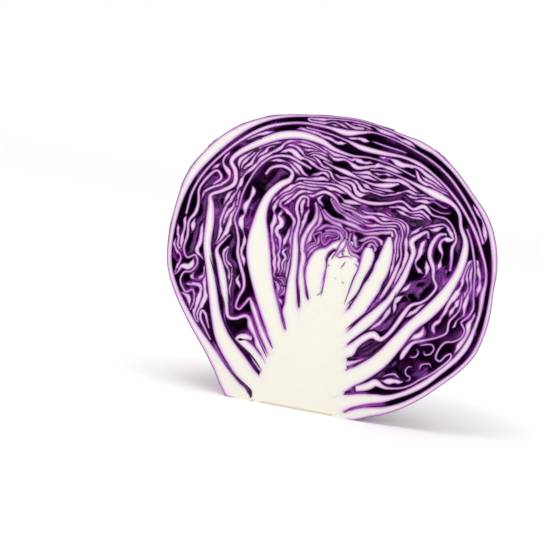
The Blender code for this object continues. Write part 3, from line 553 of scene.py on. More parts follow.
def smooth_curve(rows, spacing=0.5):
    """Catmull-Rom curve through rows of numbers, sampled about every spacing in mm."""
    rows = np.array(rows, float)
    rows = np.vstack((2.0 * rows[0] - rows[1], rows, 2.0 * rows[-1] - rows[-2]))
    parts = []
    for index in range(1, len(rows) - 2):
        before, start, end, after = rows[index - 1:index + 3]
        count = max(2, int(np.hypot(*(end - start)[:2]) / spacing))
        t = (np.arange(count) / count)[:, None]
        parts.append(
            0.5 * (2.0 * start + (end - before) * t
                   + (2.0 * before - 5.0 * start + 4.0 * end - after) * t ** 2
                   + (3.0 * start - before - 3.0 * end + after) * t ** 3)
        )
    parts.append(rows[-2:-1])
    return np.vstack(parts)


def along(points):
    """Unit directions along a line of points."""
    steps = np.gradient(points, axis=0)
    return steps / np.maximum(np.linalg.norm(steps, axis=1), TINY)[:, None]


def across(points):
    """Unit directions square to a line of points."""
    ahead = along(points)
    return np.stack((-ahead[:, 1], ahead[:, 0]), 1)


def edges_of(curve):
    """The two edges of a curve whose rows are x, z and the thickness on its two sides."""
    normal = across(curve[:, :2])
    return [curve[:, :2] + normal * curve[:, 2:3], curve[:, :2] - normal * curve[:, 3:4]]


def steps_from_end(line):
    """Steps from each point of a line to the nearer of its ends."""
    steps = np.arange(len(line))
    return np.minimum(steps, steps[::-1])


def point_tree(points):
    """A lookup of the nearest of points of the cut, or of points in space."""
    tree = kdtree.KDTree(len(points))
    for index, point in enumerate(points):
        tree.insert((*point, 0.0)[:3], index)
    tree.balance()
    return tree


def side_of(offset, ahead, normal, slant):
    """Which side of a line an offset is on, 0 or 1, or None if it lies ahead or behind."""
    sideways = offset @ normal
    if abs(offset @ ahead) > slant * abs(sideways) + SLANT_EXTRA:
        return None
    return 0 if sideways > 0.0 else 1


class Waves:
    """A smooth field of seeded sine waves over the plane or in space."""

    def __init__(self, seed, shortest, longest, count=14, dimensions=2):
        source = np.random.default_rng(seed)
        headings = source.normal(size=(count, dimensions))
        headings /= np.linalg.norm(headings, axis=1)[:, None]
        lengths = source.uniform(shortest, longest, count)
        self.numbers = headings * (math.tau / lengths)[:, None]
        self.phases = source.uniform(0.0, math.tau, count)
        self.scale = math.sqrt(2.0 / count)

    def __call__(self, *coordinates):
        total = self.phases
        for axis, values in enumerate(coordinates):
            total = total + np.multiply.outer(values, self.numbers[:, axis])
        return np.sin(total).sum(-1) * self.scale


BROAD_TURN_WAVES = Waves(3, 9.0, 16.0)
FINE_TURN_WAVES = Waves(5, 4.5, 7.5)
THICKNESS_WAVES = Waves(11, 7.0, 15.0)
SWELLING_WAVES = Waves(29, 9.0, 22.0)
DRIFT_X_WAVES = Waves(17, 16.0, 34.0)
DRIFT_Z_WAVES = Waves(19, 16.0, 34.0)
RIPPLE_WAVES = Waves(41, 2.5, 6.0)
PUCKER_WAVES = Waves(53, 11.0, 26.0, 16, 3)
DENT_WAVES = Waves(59, 16.0, 40.0, 12, 3)
RAGGED_WAVES = Waves(61, 9.0, 26.0, 8, 1)
BACK_MARGIN_WAVES = Waves(67, 14.0, 40.0, 10, 1)
BACK_CURL_WAVES = Waves(69, 10.0, 24.0, 10, 1)


def bump_field(x, z, middle_x, middle_z, wide, high):
    """A soft plateau of 1 round a point of the cut."""
    return np.exp(-(((x - middle_x) / wide) ** 2 + ((z - middle_z) / high) ** 2) ** 1.5)


class Flow:
    """The direction, spacing and room of the blades over a grid on the cut."""

    def __init__(self, leaf_curves, core_curves):
        xs = np.arange(GRID_LOW[0], GRID_HIGH[0], GRID)
        zs = np.arange(GRID_LOW[1], GRID_HIGH[1], GRID)
        self.x, self.z = np.meshgrid(xs, zs, indexing="ij")
        self.fixed = np.zeros(self.x.shape, bool)
        self.cosine = np.zeros(self.x.shape)
        self.sine = np.zeros(self.x.shape)
        for curve in leaf_curves + core_curves:
            for share in np.linspace(0.0, 1.0, PIN_LINES):
                offset = curve[:, 2] * share - curve[:, 3] * (1.0 - share)
                self.pin(curve[:, :2] + across(curve[:, :2]) * offset[:, None], curve)
        rim = rim_points(1440)
        self.pin(rim, rim)
        self.spread()
        self.set_spacing()
        self.set_direction()
        self.set_room(leaf_curves[:len(WRAPPER_LEAVES)])

    def cells(self, points):
        """Grid cells of points of the cut."""
        places = np.round((points - GRID_LOW) / GRID).astype(int)
        return places[:, 0], places[:, 1]

    def cell(self, x, z):
        """Grid cell of one point of the cut."""
        return int(round((x - GRID_LOW[0]) / GRID)), int(round((z - GRID_LOW[1]) / GRID))

    def pin(self, points, curve):
        """Fix the flow at points to the direction of a curve."""
        ahead = along(curve[:, :2])
        double = 2.0 * np.arctan2(ahead[:, 1], ahead[:, 0])
        rows, columns = self.cells(points)
        inside = (rows >= 0) & (columns >= 0) & (rows < self.x.shape[0]) & (columns < self.x.shape[1])
        rows, columns, double = rows[inside], columns[inside], double[inside]
        self.cosine[rows, columns] = np.cos(double)
        self.sine[rows, columns] = np.sin(double)
        self.fixed[rows, columns] = True

    def spread(self):
        """Let the pinned directions spread smoothly over the grid."""
        for values in (self.cosine, self.sine):
            pinned = values.copy()
            for _ in range(FLOW_PASSES):
                mean = values.copy()
                mean[1:-1, 1:-1] = 0.25 * (values[2:, 1:-1] + values[:-2, 1:-1]
                                           + values[1:-1, 2:] + values[1:-1, :-2])
                values[...] = np.where(self.fixed, pinned, mean)

    def set_spacing(self):
        """Spacing of the blades: wider in hollows and closer in bundles."""
        self.spacing = np.full(self.x.shape, BLADE_SPACING)
        for middle_x, middle_z, wide, high, value in BUNDLES + HOLLOWS:
            share = bump_field(self.x, self.z, middle_x, middle_z, wide, high)
            self.spacing += (value - self.spacing) * share

    def set_direction(self):
        """Direction of the blades: the flow, crumpled away from the large leaves."""
        crumple = np.full(self.x.shape, PLAIN_CRUMPLE)
        for middle_x, middle_z, wide, high, value in CRUMPLES:
            share = bump_field(self.x, self.z, middle_x, middle_z, wide, high)
            crumple = np.maximum(crumple, value * share)
        gap = np.where(self.fixed, 0.0, FAR)
        for _ in range(GAP_PASSES):
            nearest = gap.copy()
            nearest[1:] = np.minimum(nearest[1:], gap[:-1] + GRID)
            nearest[:-1] = np.minimum(nearest[:-1], gap[1:] + GRID)
            nearest[:, 1:] = np.minimum(nearest[:, 1:], gap[:, :-1] + GRID)
            nearest[:, :-1] = np.minimum(nearest[:, :-1], gap[:, 1:] + GRID)
            gap = nearest
        freedom = LEAST_FREEDOM + (1.0 - LEAST_FREEDOM) * np.clip(gap / FREE_REACH, 0.0, 1.0)
        turns = BROAD_TURN * BROAD_TURN_WAVES(self.x, self.z) + FINE_TURN * FINE_TURN_WAVES(self.x, self.z)
        angle = 0.5 * np.arctan2(self.sine, self.cosine) + crumple * freedom * turns
        self.ahead_x = np.cos(angle)
        self.ahead_z = np.sin(angle)

    def set_room(self, wrappers):
        """Where blades may grow: inside the outline and off the core."""
        self.room = rim_share(self.x, self.z) < OUTLINE_SHARE
        margin = np.where(self.z < CORE_CLEAR_TOP, FLANK_MARGIN, TIP_MARGIN)
        self.room &= core_depth(self.x, self.z) < -margin
        self.room &= self.z > BLADES_ABOVE
        self.room &= inside_wrappers(self.x, self.z, wrappers)


class Taken:
    """Points that are already taken by leaves and blades, for quick distance tests."""

    def __init__(self):
        self.buckets = {}

    def add(self, x, z, extra, owner):
        """Take a point; other points may come nearer to it by extra."""
        key = (int(x // BUCKET), int(z // BUCKET))
        self.buckets.setdefault(key, []).append((x, z, extra, owner))

    def clear(self, x, z, need, own=()):
        """True if nothing but its own points is within need of a point."""
        middle_x, middle_z = int(x // BUCKET), int(z // BUCKET)
        reach = int(need // BUCKET) + 1
        for i in range(middle_x - reach, middle_x + reach + 1):
            for j in range(middle_z - reach, middle_z + reach + 1):
                for other_x, other_z, extra, owner in self.buckets.get((i, j), ()):
                    if owner in own:
                        continue
                    if (x - other_x) ** 2 + (z - other_z) ** 2 < (need - extra) ** 2:
                        return False
        return True


class Pattern:
    """The thin folded blades that fill the cut between the large leaves."""

    def __init__(self, leaf_curves, core_curves):
        self.flow = Flow(leaf_curves, core_curves)
        self.taken = Taken()
        self.lines = []
        self.waiting = deque()
        self.take_leaves(leaf_curves, core_curves)
        self.fill()
        self.join_ends()

    def take_leaves(self, leaf_curves, core_curves):
        """Take what is there already, and note where blades may start beside it."""
        for curve in leaf_curves:
            normal = across(curve[:, :2])
            for sign, half in ((1.0, curve[:, 2]), (-1.0, curve[:, 3])):
                edge = curve[:, :2] + normal * (half * sign)[:, None]
                for index, (x, z) in enumerate(edge):
                    self.taken.add(x, z, LEAF_EXTRA, -1)
                    if index % SEED_EVERY == 0:
                        self.waiting.append(edge[index] + normal[index] * sign * FIRST_GAP)
        for curve in core_curves:
            for x, z in curve[:, :2]:
                self.taken.add(x, z, EDGE_EXTRA, -1)
        for x, z in rim_points(1200):
            self.taken.add(x, z, EDGE_EXTRA, -1)

    def fill(self):
        """Grow blades beside what is there, and then wherever there is room."""
        while self.waiting:
            self.start(self.waiting.popleft(), FIRST_BLADE)
        source = np.random.default_rng(LATE_SEED)
        for place in source.uniform(GRID_LOW, LATE_HIGH, (LATE_PLACES, 2)):
            self.start(place, SHORT_BLADE)

    def start(self, place, shortest):
        """Grow a blade both ways from a place, if there is room for one of that length."""
        flow = self.flow
        i, j = flow.cell(*place)
        if not (0 <= i < flow.x.shape[0] and 0 <= j < flow.x.shape[1]) or not flow.room[i, j]:
            return
        if not self.taken.clear(place[0], place[1], flow.spacing[i, j] * START_SHARE):
            return
        own = []
        ways = [self.grow(place, flow.ahead_x[i, j] * sign, flow.ahead_z[i, j] * sign, sign, own)
                for sign in (1, -1)]
        line = ways[1][::-1] + [tuple(place)] + ways[0]
        if len(line) * STEP < shortest:
            return
        line = np.array(line)
        self.lines.append(line)
        for x, z in line:
            self.taken.add(x, z, 0.0, len(self.lines) - 1)
        normal = across(line)
        for index in range(0, len(line), SEED_EVERY):
            gap = flow.spacing[flow.cell(*line[index])]
            self.waiting.append(line[index] + normal[index] * gap)
            self.waiting.append(line[index] - normal[index] * gap)

    def grow(self, place, ahead_x, ahead_z, sign, own):
        """Follow the flow from a place until something is in the way."""
        x, z = place
        flow = self.flow
        points = []
        for count in range(1, MOST_STEPS):
            middle = flow.cell(x + ahead_x * STEP / 2, z + ahead_z * STEP / 2)
            turn_x, turn_z = flow.ahead_x[middle], flow.ahead_z[middle]
            if turn_x * ahead_x + turn_z * ahead_z < 0.0:
                turn_x, turn_z = -turn_x, -turn_z
            ahead_x, ahead_z = 0.5 * ahead_x + 0.5 * turn_x, 0.5 * ahead_z + 0.5 * turn_z
            length = math.hypot(ahead_x, ahead_z) + TINY
            ahead_x, ahead_z = ahead_x / length, ahead_z / length
            x, z = x + ahead_x * STEP, z + ahead_z * STEP
            cell = flow.cell(x, z)
            need = max(0.5 * flow.spacing[cell], LEAST_NEED)
            if not flow.room[cell] or not self.taken.clear(x, z, need):
                break
            index = count * sign
            if any(abs(index - other) > OWN_STEPS and (x - own_x) ** 2 + (z - own_z) ** 2 < need * need
                   for own_x, own_z, other in own):
                break
            points.append((x, z))
            own.append((x, z, index))
        return points

    def end_of(self, line, end):
        """Place and outward direction of one end of a line."""
        points = self.lines[line] if end == 1 else self.lines[line][::-1]
        heading = points[-1] - points[-END_STEPS]
        return points[-1], heading / np.linalg.norm(heading)

    def join_candidates(self):
        """Pairs of nearby blade ends that could fold into each other, the closest first."""
        ends = [(line, end, *self.end_of(line, end)) for line in range(len(self.lines)) for end in (0, 1)]
        found = []
        for index, (line, end, place, heading) in enumerate(ends):
            for other, other_end, other_place, other_heading in ends[index + 1:]:
                gap = np.linalg.norm(place - other_place)
                too_short = other == line and len(self.lines[line]) * STEP < SELF_JOIN
                if not JOIN_LEAST < gap < JOIN_REACH or too_short:
                    continue
                facing = heading @ other_heading
                if facing > TURN_BACK:
                    found.append((gap, line, end, other, other_end, TURN_STIFFNESS))
                elif facing < RUN_ON and (other_place - place) @ heading > 0.5 * gap:
                    found.append((gap + RUN_ON_HANDICAP, line, end, other, other_end, RUN_ON_STIFFNESS))
        return sorted(found)

    def join_ends(self):
        """Fold neighbouring blade ends into each other, and string the lines together."""
        links = {}
        for _, line, end, other, other_end, stiffness in self.join_candidates():
            if (line, end) in links or (other, other_end) in links:
                continue
            bend = self.bend(line, end, other, other_end, stiffness)
            if all(self.taken.clear(x, z, BEND_NEED, (line, other)) for x, z in bend):
                links[(line, end)] = (other, other_end, bend)
                links[(other, other_end)] = (line, end, bend[::-1])
        seen = set()
        self.strings = []
        for end in (0, 1):
            for line in range(len(self.lines)):
                if line not in seen and ((line, end) not in links or end == 1):
                    self.strings.append(self.string_up(line, 1 - end, links, seen))

    def bend(self, line, end, other, other_end, stiffness):
        """A short curve from one blade end to another."""
        place, heading = self.end_of(line, end)
        other_place, other_heading = self.end_of(other, other_end)
        gap = np.linalg.norm(place - other_place)
        pull = stiffness * gap + BEND_PULL
        t = np.linspace(0.0, 1.0, max(4, int(gap * 2.0 / STEP)))[:, None]
        curve = ((1 - t) ** 3 * place + 3 * (1 - t) ** 2 * t * (place + heading * pull)
                 + 3 * (1 - t) * t * t * (other_place + other_heading * pull) + t ** 3 * other_place)
        return curve[1:-1]

    def string_up(self, line, end, links, seen):
        """All the lines that fold into each other from one line on, as one smooth line."""
        parts = []
        while line not in seen:
            seen.add(line)
            parts.append(self.lines[line] if end == 1 else self.lines[line][::-1])
            if (line, end) not in links:
                break
            line, other_end, bend = links[(line, end)]
            end = 1 - other_end
            if line not in seen:
                parts.append(bend)
        string = np.vstack(parts)
        for _ in range(STRING_PASSES):
            string[1:-1] = 0.25 * string[:-2] + 0.5 * string[1:-1] + 0.25 * string[2:]
        return string


def soften(values):
    """Least of each value and its neighbours, smoothed."""
    padded = np.pad(values, 1, "edge")
    least = np.minimum(np.minimum(padded[:-2], padded[2:]), values)
    return np.convolve(np.pad(least, 2, "edge"), np.ones(5) / 5, "valid")


class Crowd:
    """Finds how thick each blade can be before it meets its neighbours."""

    def __init__(self, strings, leaf_curves, core_curves):
        points, owners, indexes, extras = [], [], [], []
        for owner, string in enumerate(strings):
            points.append(string)
            owners += [owner] * len(string)
            indexes += list(range(len(string)))
            extras += [SHARED_GAP] * len(string)
        edges = [curve[:, :2] for curve in core_curves] + [rim_points(2000)]
        for curve in leaf_curves:
            edges += edges_of(curve)
        for edge in edges:
            points.append(edge)
            owners += [-1] * len(edge)
            indexes += [0] * len(edge)
            extras += [1.0] * len(edge)
        self.points = np.vstack(points)
        self.owners, self.indexes, self.extras = owners, indexes, extras
        self.tree = point_tree(self.points)

    def room_beside(self, string, owner):
        """Half thickness that a blade has room for on its two sides."""
        room = np.full((len(string), 2), ROOM_MOST)
        ahead, normal = along(string), across(string)
        for place, (x, z) in enumerate(string):
            for _, other, gap in self.tree.find_range((x, z, 0.0), 2.1 * ROOM_MOST):
                if self.owners[other] == owner and abs(self.indexes[other] - place) < NEAR_STEPS:
                    continue
                offset = self.points[other] - string[place]
                side = side_of(offset, ahead[place], normal[place], CROWD_SLANT)
                if side is not None:
                    room[place, side] = min(room[place, side], self.extras[other] * gap - SKIN_CREVICE)
        room = np.clip(room, ROOM_LEAST, ROOM_MOST)
        room = np.stack((soften(room[:, 0]), soften(room[:, 1])), 1)
        from_end = steps_from_end(string) * STEP
        return room * np.clip(END_SHARE + from_end / BLADE_TAPER, 0.0, 1.0)[:, None]


def swell_ribs(curves):
    """Thicken the ribs near the core on both sides until they meet a seam or each other."""
    names = list(curves)
    lines = [curves[name] for name in names] + [smooth_curve(seam, STEP) for seam in SEAMS]
    owners = np.concatenate([np.full(len(line), owner) for owner, line in enumerate(lines)])
    rows = np.vstack(lines)
    places, halves = rows[:, :2], rows[:, 2]
    tree = point_tree(places)
    swollen = {}
    for owner, name in enumerate(names):
        curve = curves[name]
        points, half = curve[:, :2], np.maximum(curve[:, 2], RIB_LEAST)
        outside = -core_depth(points[:, 0], points[:, 1])
        weight = np.clip((RIB_REACH_END - outside) / (RIB_REACH_END - RIB_REACH), 0.0, 1.0)
        weight *= (points[:, 1] < RIB_TOP) & (not name.startswith("heart"))
        ahead, normal = along(points), across(points)
        sides = np.stack((half, half), 1)
        for place in np.nonzero(weight > 0.0)[0]:
            most = np.array((RIB_MOST, RIB_MOST))
            x, z = points[place]
            for _, other, gap in tree.find_range((x, z, 0.0), RIB_SEARCH * RIB_MOST):
                side = side_of(places[other] - points[place], ahead[place], normal[place], RIB_SLANT)
                if owners[other] == owner or side is None:
                    continue
                seam = owners[other] >= len(names)
                reach = gap if seam else (gap - halves[other] + half[place]) / 2.0
                most[side] = min(most[side], reach)
            most[most >= RIB_MOST] = half[place] + RIB_ALONE
            sides[place] += weight[place] * np.maximum(most - half[place], 0.0)
        sides = np.stack((smooth_values(sides[:, 0]), smooth_values(sides[:, 1])), 1)
        swollen[name] = np.column_stack((points, sides))
    return swollen


def smooth_values(values, width=7):
    """Running mean along a line."""
    reach = width // 2
    return np.convolve(np.pad(values, reach, "edge"), np.ones(width) / width, "valid")


def drift(points, depth):
    """Sideways drift of points of the cut at a depth behind it."""
    x, z = points[:, 0], points[:, 1]
    inwards = np.clip((1.0 - rim_share(x, z)) / STILL_RIM, 0.0, 1.0)
    amount = SHEAR * (1.0 - math.exp(-depth / SHEAR_DEPTH)) * inwards
    return points + amount[:, None] * np.stack((DRIFT_X_WAVES(x, z), DRIFT_Z_WAVES(x, z)), 1)


def ragged_end(edge, points, depth):
    """Points of an outer leaf whose end at the crown is wavy behind the cut."""
    from_end = np.arange(len(points))[::-1] * 0.5
    share = np.clip(1.0 - from_end / RAGGED_LENGTH, 0.0, 1.0) ** 2
    wave = RAGGED * RAGGED_WAVES(np.full(1, depth + len(points)))[0] * min(1.0, depth / RAGGED_DEPTH)
    return edge + along(points) * (share * wave)[:, None]


def from_heart(places):
    """Unit directions of places, in metres, from the middle of the head."""
    offsets = places / MM - (HEART_X, -CUT_SETBACK, HEART_Z)
    return offsets / np.linalg.norm(offsets, axis=1)[:, None]


def from_middle(directions, radius):
    """Places in metres at a radius in mm along directions from the middle of the head."""
    return (directions * radius[:, None] + (HEART_X, -CUT_SETBACK, HEART_Z)) * MM


def turned(heading, place, angle):
    """A heading turned by an angle about the direction of its place."""
    return heading * math.cos(angle) + np.cross(place, heading) * math.sin(angle)


class Veins:
    """The branching veins of one outer leaf, over a sphere the size of the head."""

    def __init__(self, seed, start, heading):
        self.source = np.random.default_rng(seed)
        self.points, self.widths = [], []
        start = np.array(start) / np.linalg.norm(start)
        heading = np.array(heading) - start * (start @ np.array(heading))
        self.grow(start, heading / np.linalg.norm(heading), VEIN_LENGTHS[0], 0, 0.0)
        self.tree = point_tree(self.points)

    def grow(self, place, heading, length, level, bend):
        """One vein and its branches; bend is its turn in radians over its whole length."""
        count = max(int(length / VEIN_STEP), 3)
        wander = self.source.normal(0.0, VEIN_WANDER, count)
        side = 1.0
        for index in range(count):
            share = index / count
            self.points.append(place * MEAN_RADIUS)
            self.widths.append(VEIN_WIDTHS[level] * (1.0 - VEIN_THINS * share))
            if level < len(VEIN_GAPS) and index % VEIN_GAPS[level] == VEIN_GAPS[level] // 2:
                side = -side
                angle = side * math.radians(self.source.uniform(*VEIN_ANGLES))
                reach = VEIN_LENGTHS[level + 1] * (1.0 - BRANCH_SHORTENS * share)
                reach = reach * self.source.uniform(*BRANCH_VARIES)
                self.grow(place, turned(heading, place, angle), reach, level + 1, -VEIN_BENDS_BACK * angle)
            heading = turned(heading, place, bend / count + wander[index])
            place = place + heading * VEIN_STEP / MEAN_RADIUS
            place = place / np.linalg.norm(place)
            heading = heading - place * (heading @ place)
            heading = heading / np.linalg.norm(heading)

    def relief(self, places):
        """Rise of the skin in mm, and how much of a vein shows, at places in metres."""
        directions = from_heart(places)
        rise, vein = np.zeros(len(places)), np.zeros(len(places))
        for index, direction in enumerate(directions * MEAN_RADIUS):
            for _, nearest, gap in self.tree.find_n(direction, 3):
                width = self.widths[nearest]
                ridge = math.exp(-(gap / (VEIN_FLANK * width)) ** 2)
                rise[index] = max(rise[index], VEIN_RISE * width * ridge)
                vein[index] = max(vein[index], ridge * min(1.0, 0.3 + width / 2.0))
        x, y, z = (directions * MEAN_RADIUS).T
        dents = DENT * np.exp(-(np.abs(DENT_WAVES(x, y, z)) / DENT_WIDTH) ** 2)
        return rise + PUCKER * PUCKER_WAVES(x, y, z) - dents, vein


class Solid:
    """Gathers the ribbons of one piece: vertices, faces and the attributes its looks need."""

    def __init__(self):
        self.places, self.faces, self.flesh, self.vein, self.outside = [], [], [], [], []
        self.count = 0

    def add_ring(self, places, flesh, vein=0.0, outside=0.0):
        """Add a row of vertices with their attributes; returns their numbers."""
        self.places.append(places)
        self.flesh.append(np.broadcast_to(flesh, len(places)))
        self.vein.append(np.broadcast_to(vein, len(places)))
        self.outside.append(np.broadcast_to(outside, len(places)))
        self.count += len(places)
        return np.arange(self.count - len(places), self.count)

    def band(self, low, high):
        """Faces between two rows of vertices."""
        self.faces += np.stack((low[:-1], low[1:], high[1:], high[:-1]), 1).tolist()

    def ribbon(self, points, left, right, depths, lift=0.0, fade=False, skin=None, ripeness=1.0):
        """A solid ribbon: its face on the cut, walls round the head behind it, and a back.

        ripeness scales the flesh that shows.  skin gives the relief of an outer leaf, and
        which of its two sides is the outer one.
        """
        normal = across(points)
        edges = (points + normal * left[:, None], points - normal * right[:, None])
        rings = []
        for depth in depths:
            rings.append([self.wall_row(edge, points, depth, lift, fade, skin and (skin[0], skin[1] == side))
                          for side, edge in enumerate(edges)])
        middle = (edges[0] + edges[1]) / 2.0
        places = carry_back(middle, np.zeros(len(middle)))
        places[:, 1] -= lift * MM
        centre = self.add_ring(places, flesh_at(middle, (left + right) / 2.0, fade) * ripeness)
        self.band(rings[0][0], centre)
        self.band(centre, rings[0][1])
        for (left_row, right_row), (next_left, next_right) in zip(rings, rings[1:]):
            self.band(next_left, left_row)
            self.band(right_row, next_right)
        self.band(rings[-1][1], rings[-1][0])
        self.close_end(rings, centre, 0, flip=False)
        self.close_end(rings, centre, -1, flip=True)

    def wall_row(self, edge, points, depth, lift, fade, skin):
        """One row of a ribbon's wall, at a depth behind the cut."""
        moved = ragged_end(edge, points, depth) if skin else drift(edge, depth)
        places = carry_to_depth(moved, depth)
        vein, outside = 0.0, 0.0
        if skin and depth > 0.0:
            relief, vein = skin[0].relief(places)
            outside = float(skin[1])
            rise = (relief + RELIEF_LIFT) * min(1.0, depth / RELIEF_FADE)
            places = places + from_heart(places) * rise[:, None] * MM
            places[:, 2] = np.maximum(places[:, 2], 0.0)
        if depth == 0.0:
            places[:, 1] -= lift * MM
        return self.add_ring(places, flesh_at(edge, 0.0, fade) * (depth == 0.0), vein, outside)

    def close_end(self, rings, centre, place, flip):
        """Faces over one end of a ribbon."""
        made = [[left_row[place], right_row[place], next_right[place], next_left[place]]
                for (left_row, right_row), (next_left, next_right) in zip(rings, rings[1:])]
        made[0].insert(1, centre[place])
        self.faces += [[int(v) for v in (face[::-1] if flip else face)] for face in made]

    def finish(self, name, material):
        """Make the object of this piece."""
        data = bpy.data.meshes.new(name)
        data.from_pydata(np.vstack(self.places).tolist(), [], self.faces)
        for label, values in (("flesh", self.flesh), ("vein", self.vein), ("outside", self.outside)):
            attribute = data.attributes.new(label, "FLOAT", "POINT")
            attribute.data.foreach_set("value", np.concatenate(values).astype(np.float32))
        data.validate()
        data.shade_smooth()
        data.set_sharp_from_angle(angle=math.radians(38))
        data.materials.append(material)
        piece = bpy.data.objects.new(name, data)
        bpy.context.scene.collection.objects.link(piece)
        return piece


def flesh_at(points, depth_in_leaf, fade):
    """Depth of flesh under the skin: in the leaf itself, or in the core that it grows from."""
    inside = core_depth(points[:, 0], points[:, 1]) if fade else np.zeros(len(points))
    near_core = (FLESH_NEAR_CORE * np.maximum(inside + CORE_FADE, 0.0)
                 + FLESH_IN_CORE * np.maximum(inside, 0.0))
    return np.maximum(depth_in_leaf, near_core * bool(fade))


def back_leaf_row(step, shares, veins):
    """One row of the back leaf, a step of the way up it: places under it and over it, and its veins."""
    side = np.sign(shares)
    top = BACK_TOP + BACK_TOP_WAVE * BACK_MARGIN_WAVES(shares * 90.0 + 300.0)
    angles = BACK_ANGLES[0] + (top - BACK_ANGLES[0]) * step
    half_width = np.interp(angles, BACK_ANGLES, BACK_HALF_WIDTHS)
    half_width = half_width + BACK_SIDE_WAVE * BACK_MARGIN_WAVES(angles + side * 400.0) * step
    sides, turns = np.radians(half_width * shares), np.radians(angles)
    directions = np.stack((np.sin(sides), np.cos(sides) * np.cos(turns), np.cos(sides) * np.sin(turns)), 1)
    directions[:, 1] = np.maximum(directions[:, 1], 0.0)
    directions /= np.linalg.norm(directions, axis=1)[:, None]
    skin = head_radius(directions)
    relief, vein = veins.relief(from_middle(directions, skin))
    edge = np.clip((abs(shares) - (1.0 - BACK_CURL_SIDE)) / BACK_CURL_SIDE, 0.0, 1.0) ** 2
    edge = np.maximum(edge, np.clip((step - (1.0 - BACK_CURL_TOP)) / BACK_CURL_TOP, 0.0, 1.0) ** 2 * 0.6)
    curl = edge * BACK_CURL * (1.0 + BACK_CURL_WAVES(angles + side * 200.0))
    foot = math.exp(-(step * 9.0) ** 2)
    rib = BACK_RIB * (1.0 - step) * np.exp(-(shares / (BACK_RIB_WIDTH + BACK_RIB_SPREAD * foot)) ** 2)
    crown = np.clip((angles - BACK_CROWN[0]) / BACK_CROWN[1], 0.0, 1.0)
    low = BACK_GAP * (1.0 - BACK_FLAT_GAP * crown) + curl * (1.0 - crown)
    blade = BACK_BLADE * (1.0 - 0.5 * edge) * (1.0 - BACK_FLAT_BLADE * crown)
    high = low + blade + rib + relief * (1.0 - BACK_FLAT_RELIEF * crown) * BACK_RELIEF
    high = np.maximum(high, low + BACK_THINNEST)
    floor_radius = HEART_Z / np.maximum(-directions[:, 2], 0.05)
    under, over = [from_middle(directions, np.minimum(skin + rise, floor_radius)) for rise in (low, high)]
    return under, over, vein


def build_back_leaf():
    """The outermost leaf: from its foot behind the stem, up the back and over the crown."""
    veins = Veins(79, (0.02, 0.38, -0.92), (0.0, 1.0, 0.35))
    shares = np.linspace(-1.0, 1.0, BACK_COLUMNS)
    shares = np.sign(shares) * (1.0 - (1.0 - abs(shares)) ** BACK_CROWDING)
    solid = Solid()
    under, over = [], []
    for step in np.linspace(0.0, 1.0, BACK_ROWS):
        low, high, vein = back_leaf_row(step, shares, veins)
        under.append(solid.add_ring(low, 0.0))
        over.append(solid.add_ring(high, 0.0, vein, 1.0))
    for first, second in list(zip(over, over[1:])) + list(zip(under[1:], under)):
        solid.band(first, second)
    solid.band(under[0], over[0])
    solid.band(over[-1], under[-1])
    under, over = np.array(under), np.array(over)
    solid.band(over[:, 0], under[:, 0])
    solid.band(under[:, -1], over[:, -1])
    return solid


def build_core():
    """The stem and core: flat on the cut and round behind it."""
    solid = Solid()
    left, right = [np.interp(CORE_LEVELS, CORE_FLANKS[:, 0], CORE_FLANKS[:, side]) for side in (1, 2)]
    turns = np.linspace(0.0, math.pi, CORE_TURNS)
    shares = np.linspace(-1.0, 1.0, CORE_COLUMNS)[1:-1]
    rows = []
    for height, low_x, high_x in zip(CORE_LEVELS, left, right):
        middle, half = (low_x + high_x) / 2.0, (high_x - low_x) / 2.0
        round_x = middle + half * np.cos(turns)
        round_y = half * np.sin(turns) - CUT_SETBACK
        flat_x = middle + half * shares
        x = np.concatenate((round_x, flat_x))
        y = np.concatenate((round_y, np.full(len(shares), -CUT_SETBACK + CORE_RECESS)))
        places = np.stack((x, y, np.full(len(x), height)), 1) * MM
        flesh = np.concatenate((np.zeros(len(turns)), half * (1.0 - abs(shares)))) + FLESH_IN_CORE
        rows.append(solid.add_ring(places, flesh))
    for low, high in zip(rows, rows[1:]):
        solid.band(np.append(low, low[0]), np.append(high, high[0]))
    solid.faces.append(rows[0][::-1].tolist())
    solid.faces.append(rows[-1].tolist())
    return solid


def paint(name, roughness, sheen=0.3):
    """A new material, its node tree and its Principled shader."""
    material = bpy.data.materials.new(name)
    material.use_nodes = True
    tree = material.node_tree
    shader = tree.nodes["Principled BSDF"]
    shader.inputs["Roughness"].default_value = roughness
    shader.inputs["Specular IOR Level"].default_value = sheen
    return material, tree, shader


def add_node(tree, kind, inputs=(), **settings):
    """A node with its settings; inputs gives values or sockets to link, by name or index."""
    made = tree.nodes.new(kind)
    for key, value in settings.items():
        setattr(made, key, value)
    for key, value in dict(inputs).items():
        if isinstance(value, bpy.types.NodeSocket):
            tree.links.new(value, made.inputs[key])
        else:
            made.inputs[key].default_value = value
    return made


def ramp(tree, factor, stops):
    """A colour ramp over a factor."""
    made = add_node(tree, "ShaderNodeValToRGB", {"Fac": factor})
    elements = made.color_ramp.elements
    while len(elements) < len(stops):
        elements.new(0.5)
    for element, (position, colour) in zip(elements, stops):
        element.position = position
        element.color = (*colour, 1.0)
    return made.outputs["Color"]


def own_place(tree):
    """The object's own place, in metres."""
    return add_node(tree, "ShaderNodeTexCoord").outputs["Object"]


def grain(tree, scale, detail=3.0, roughness=0.5, distortion=0.0):
    """Noise over the object's own place, in waves of about 1 / scale metres."""
    values = {"Vector": own_place(tree), "Scale": scale, "Detail": detail, "Roughness": roughness,
              "Distortion": distortion}
    return add_node(tree, "ShaderNodeTexNoise", values).outputs["Fac"]


def read(tree, label):
    """A number stored on the mesh."""
    return add_node(tree, "ShaderNodeAttribute", attribute_name=label).outputs["Fac"]


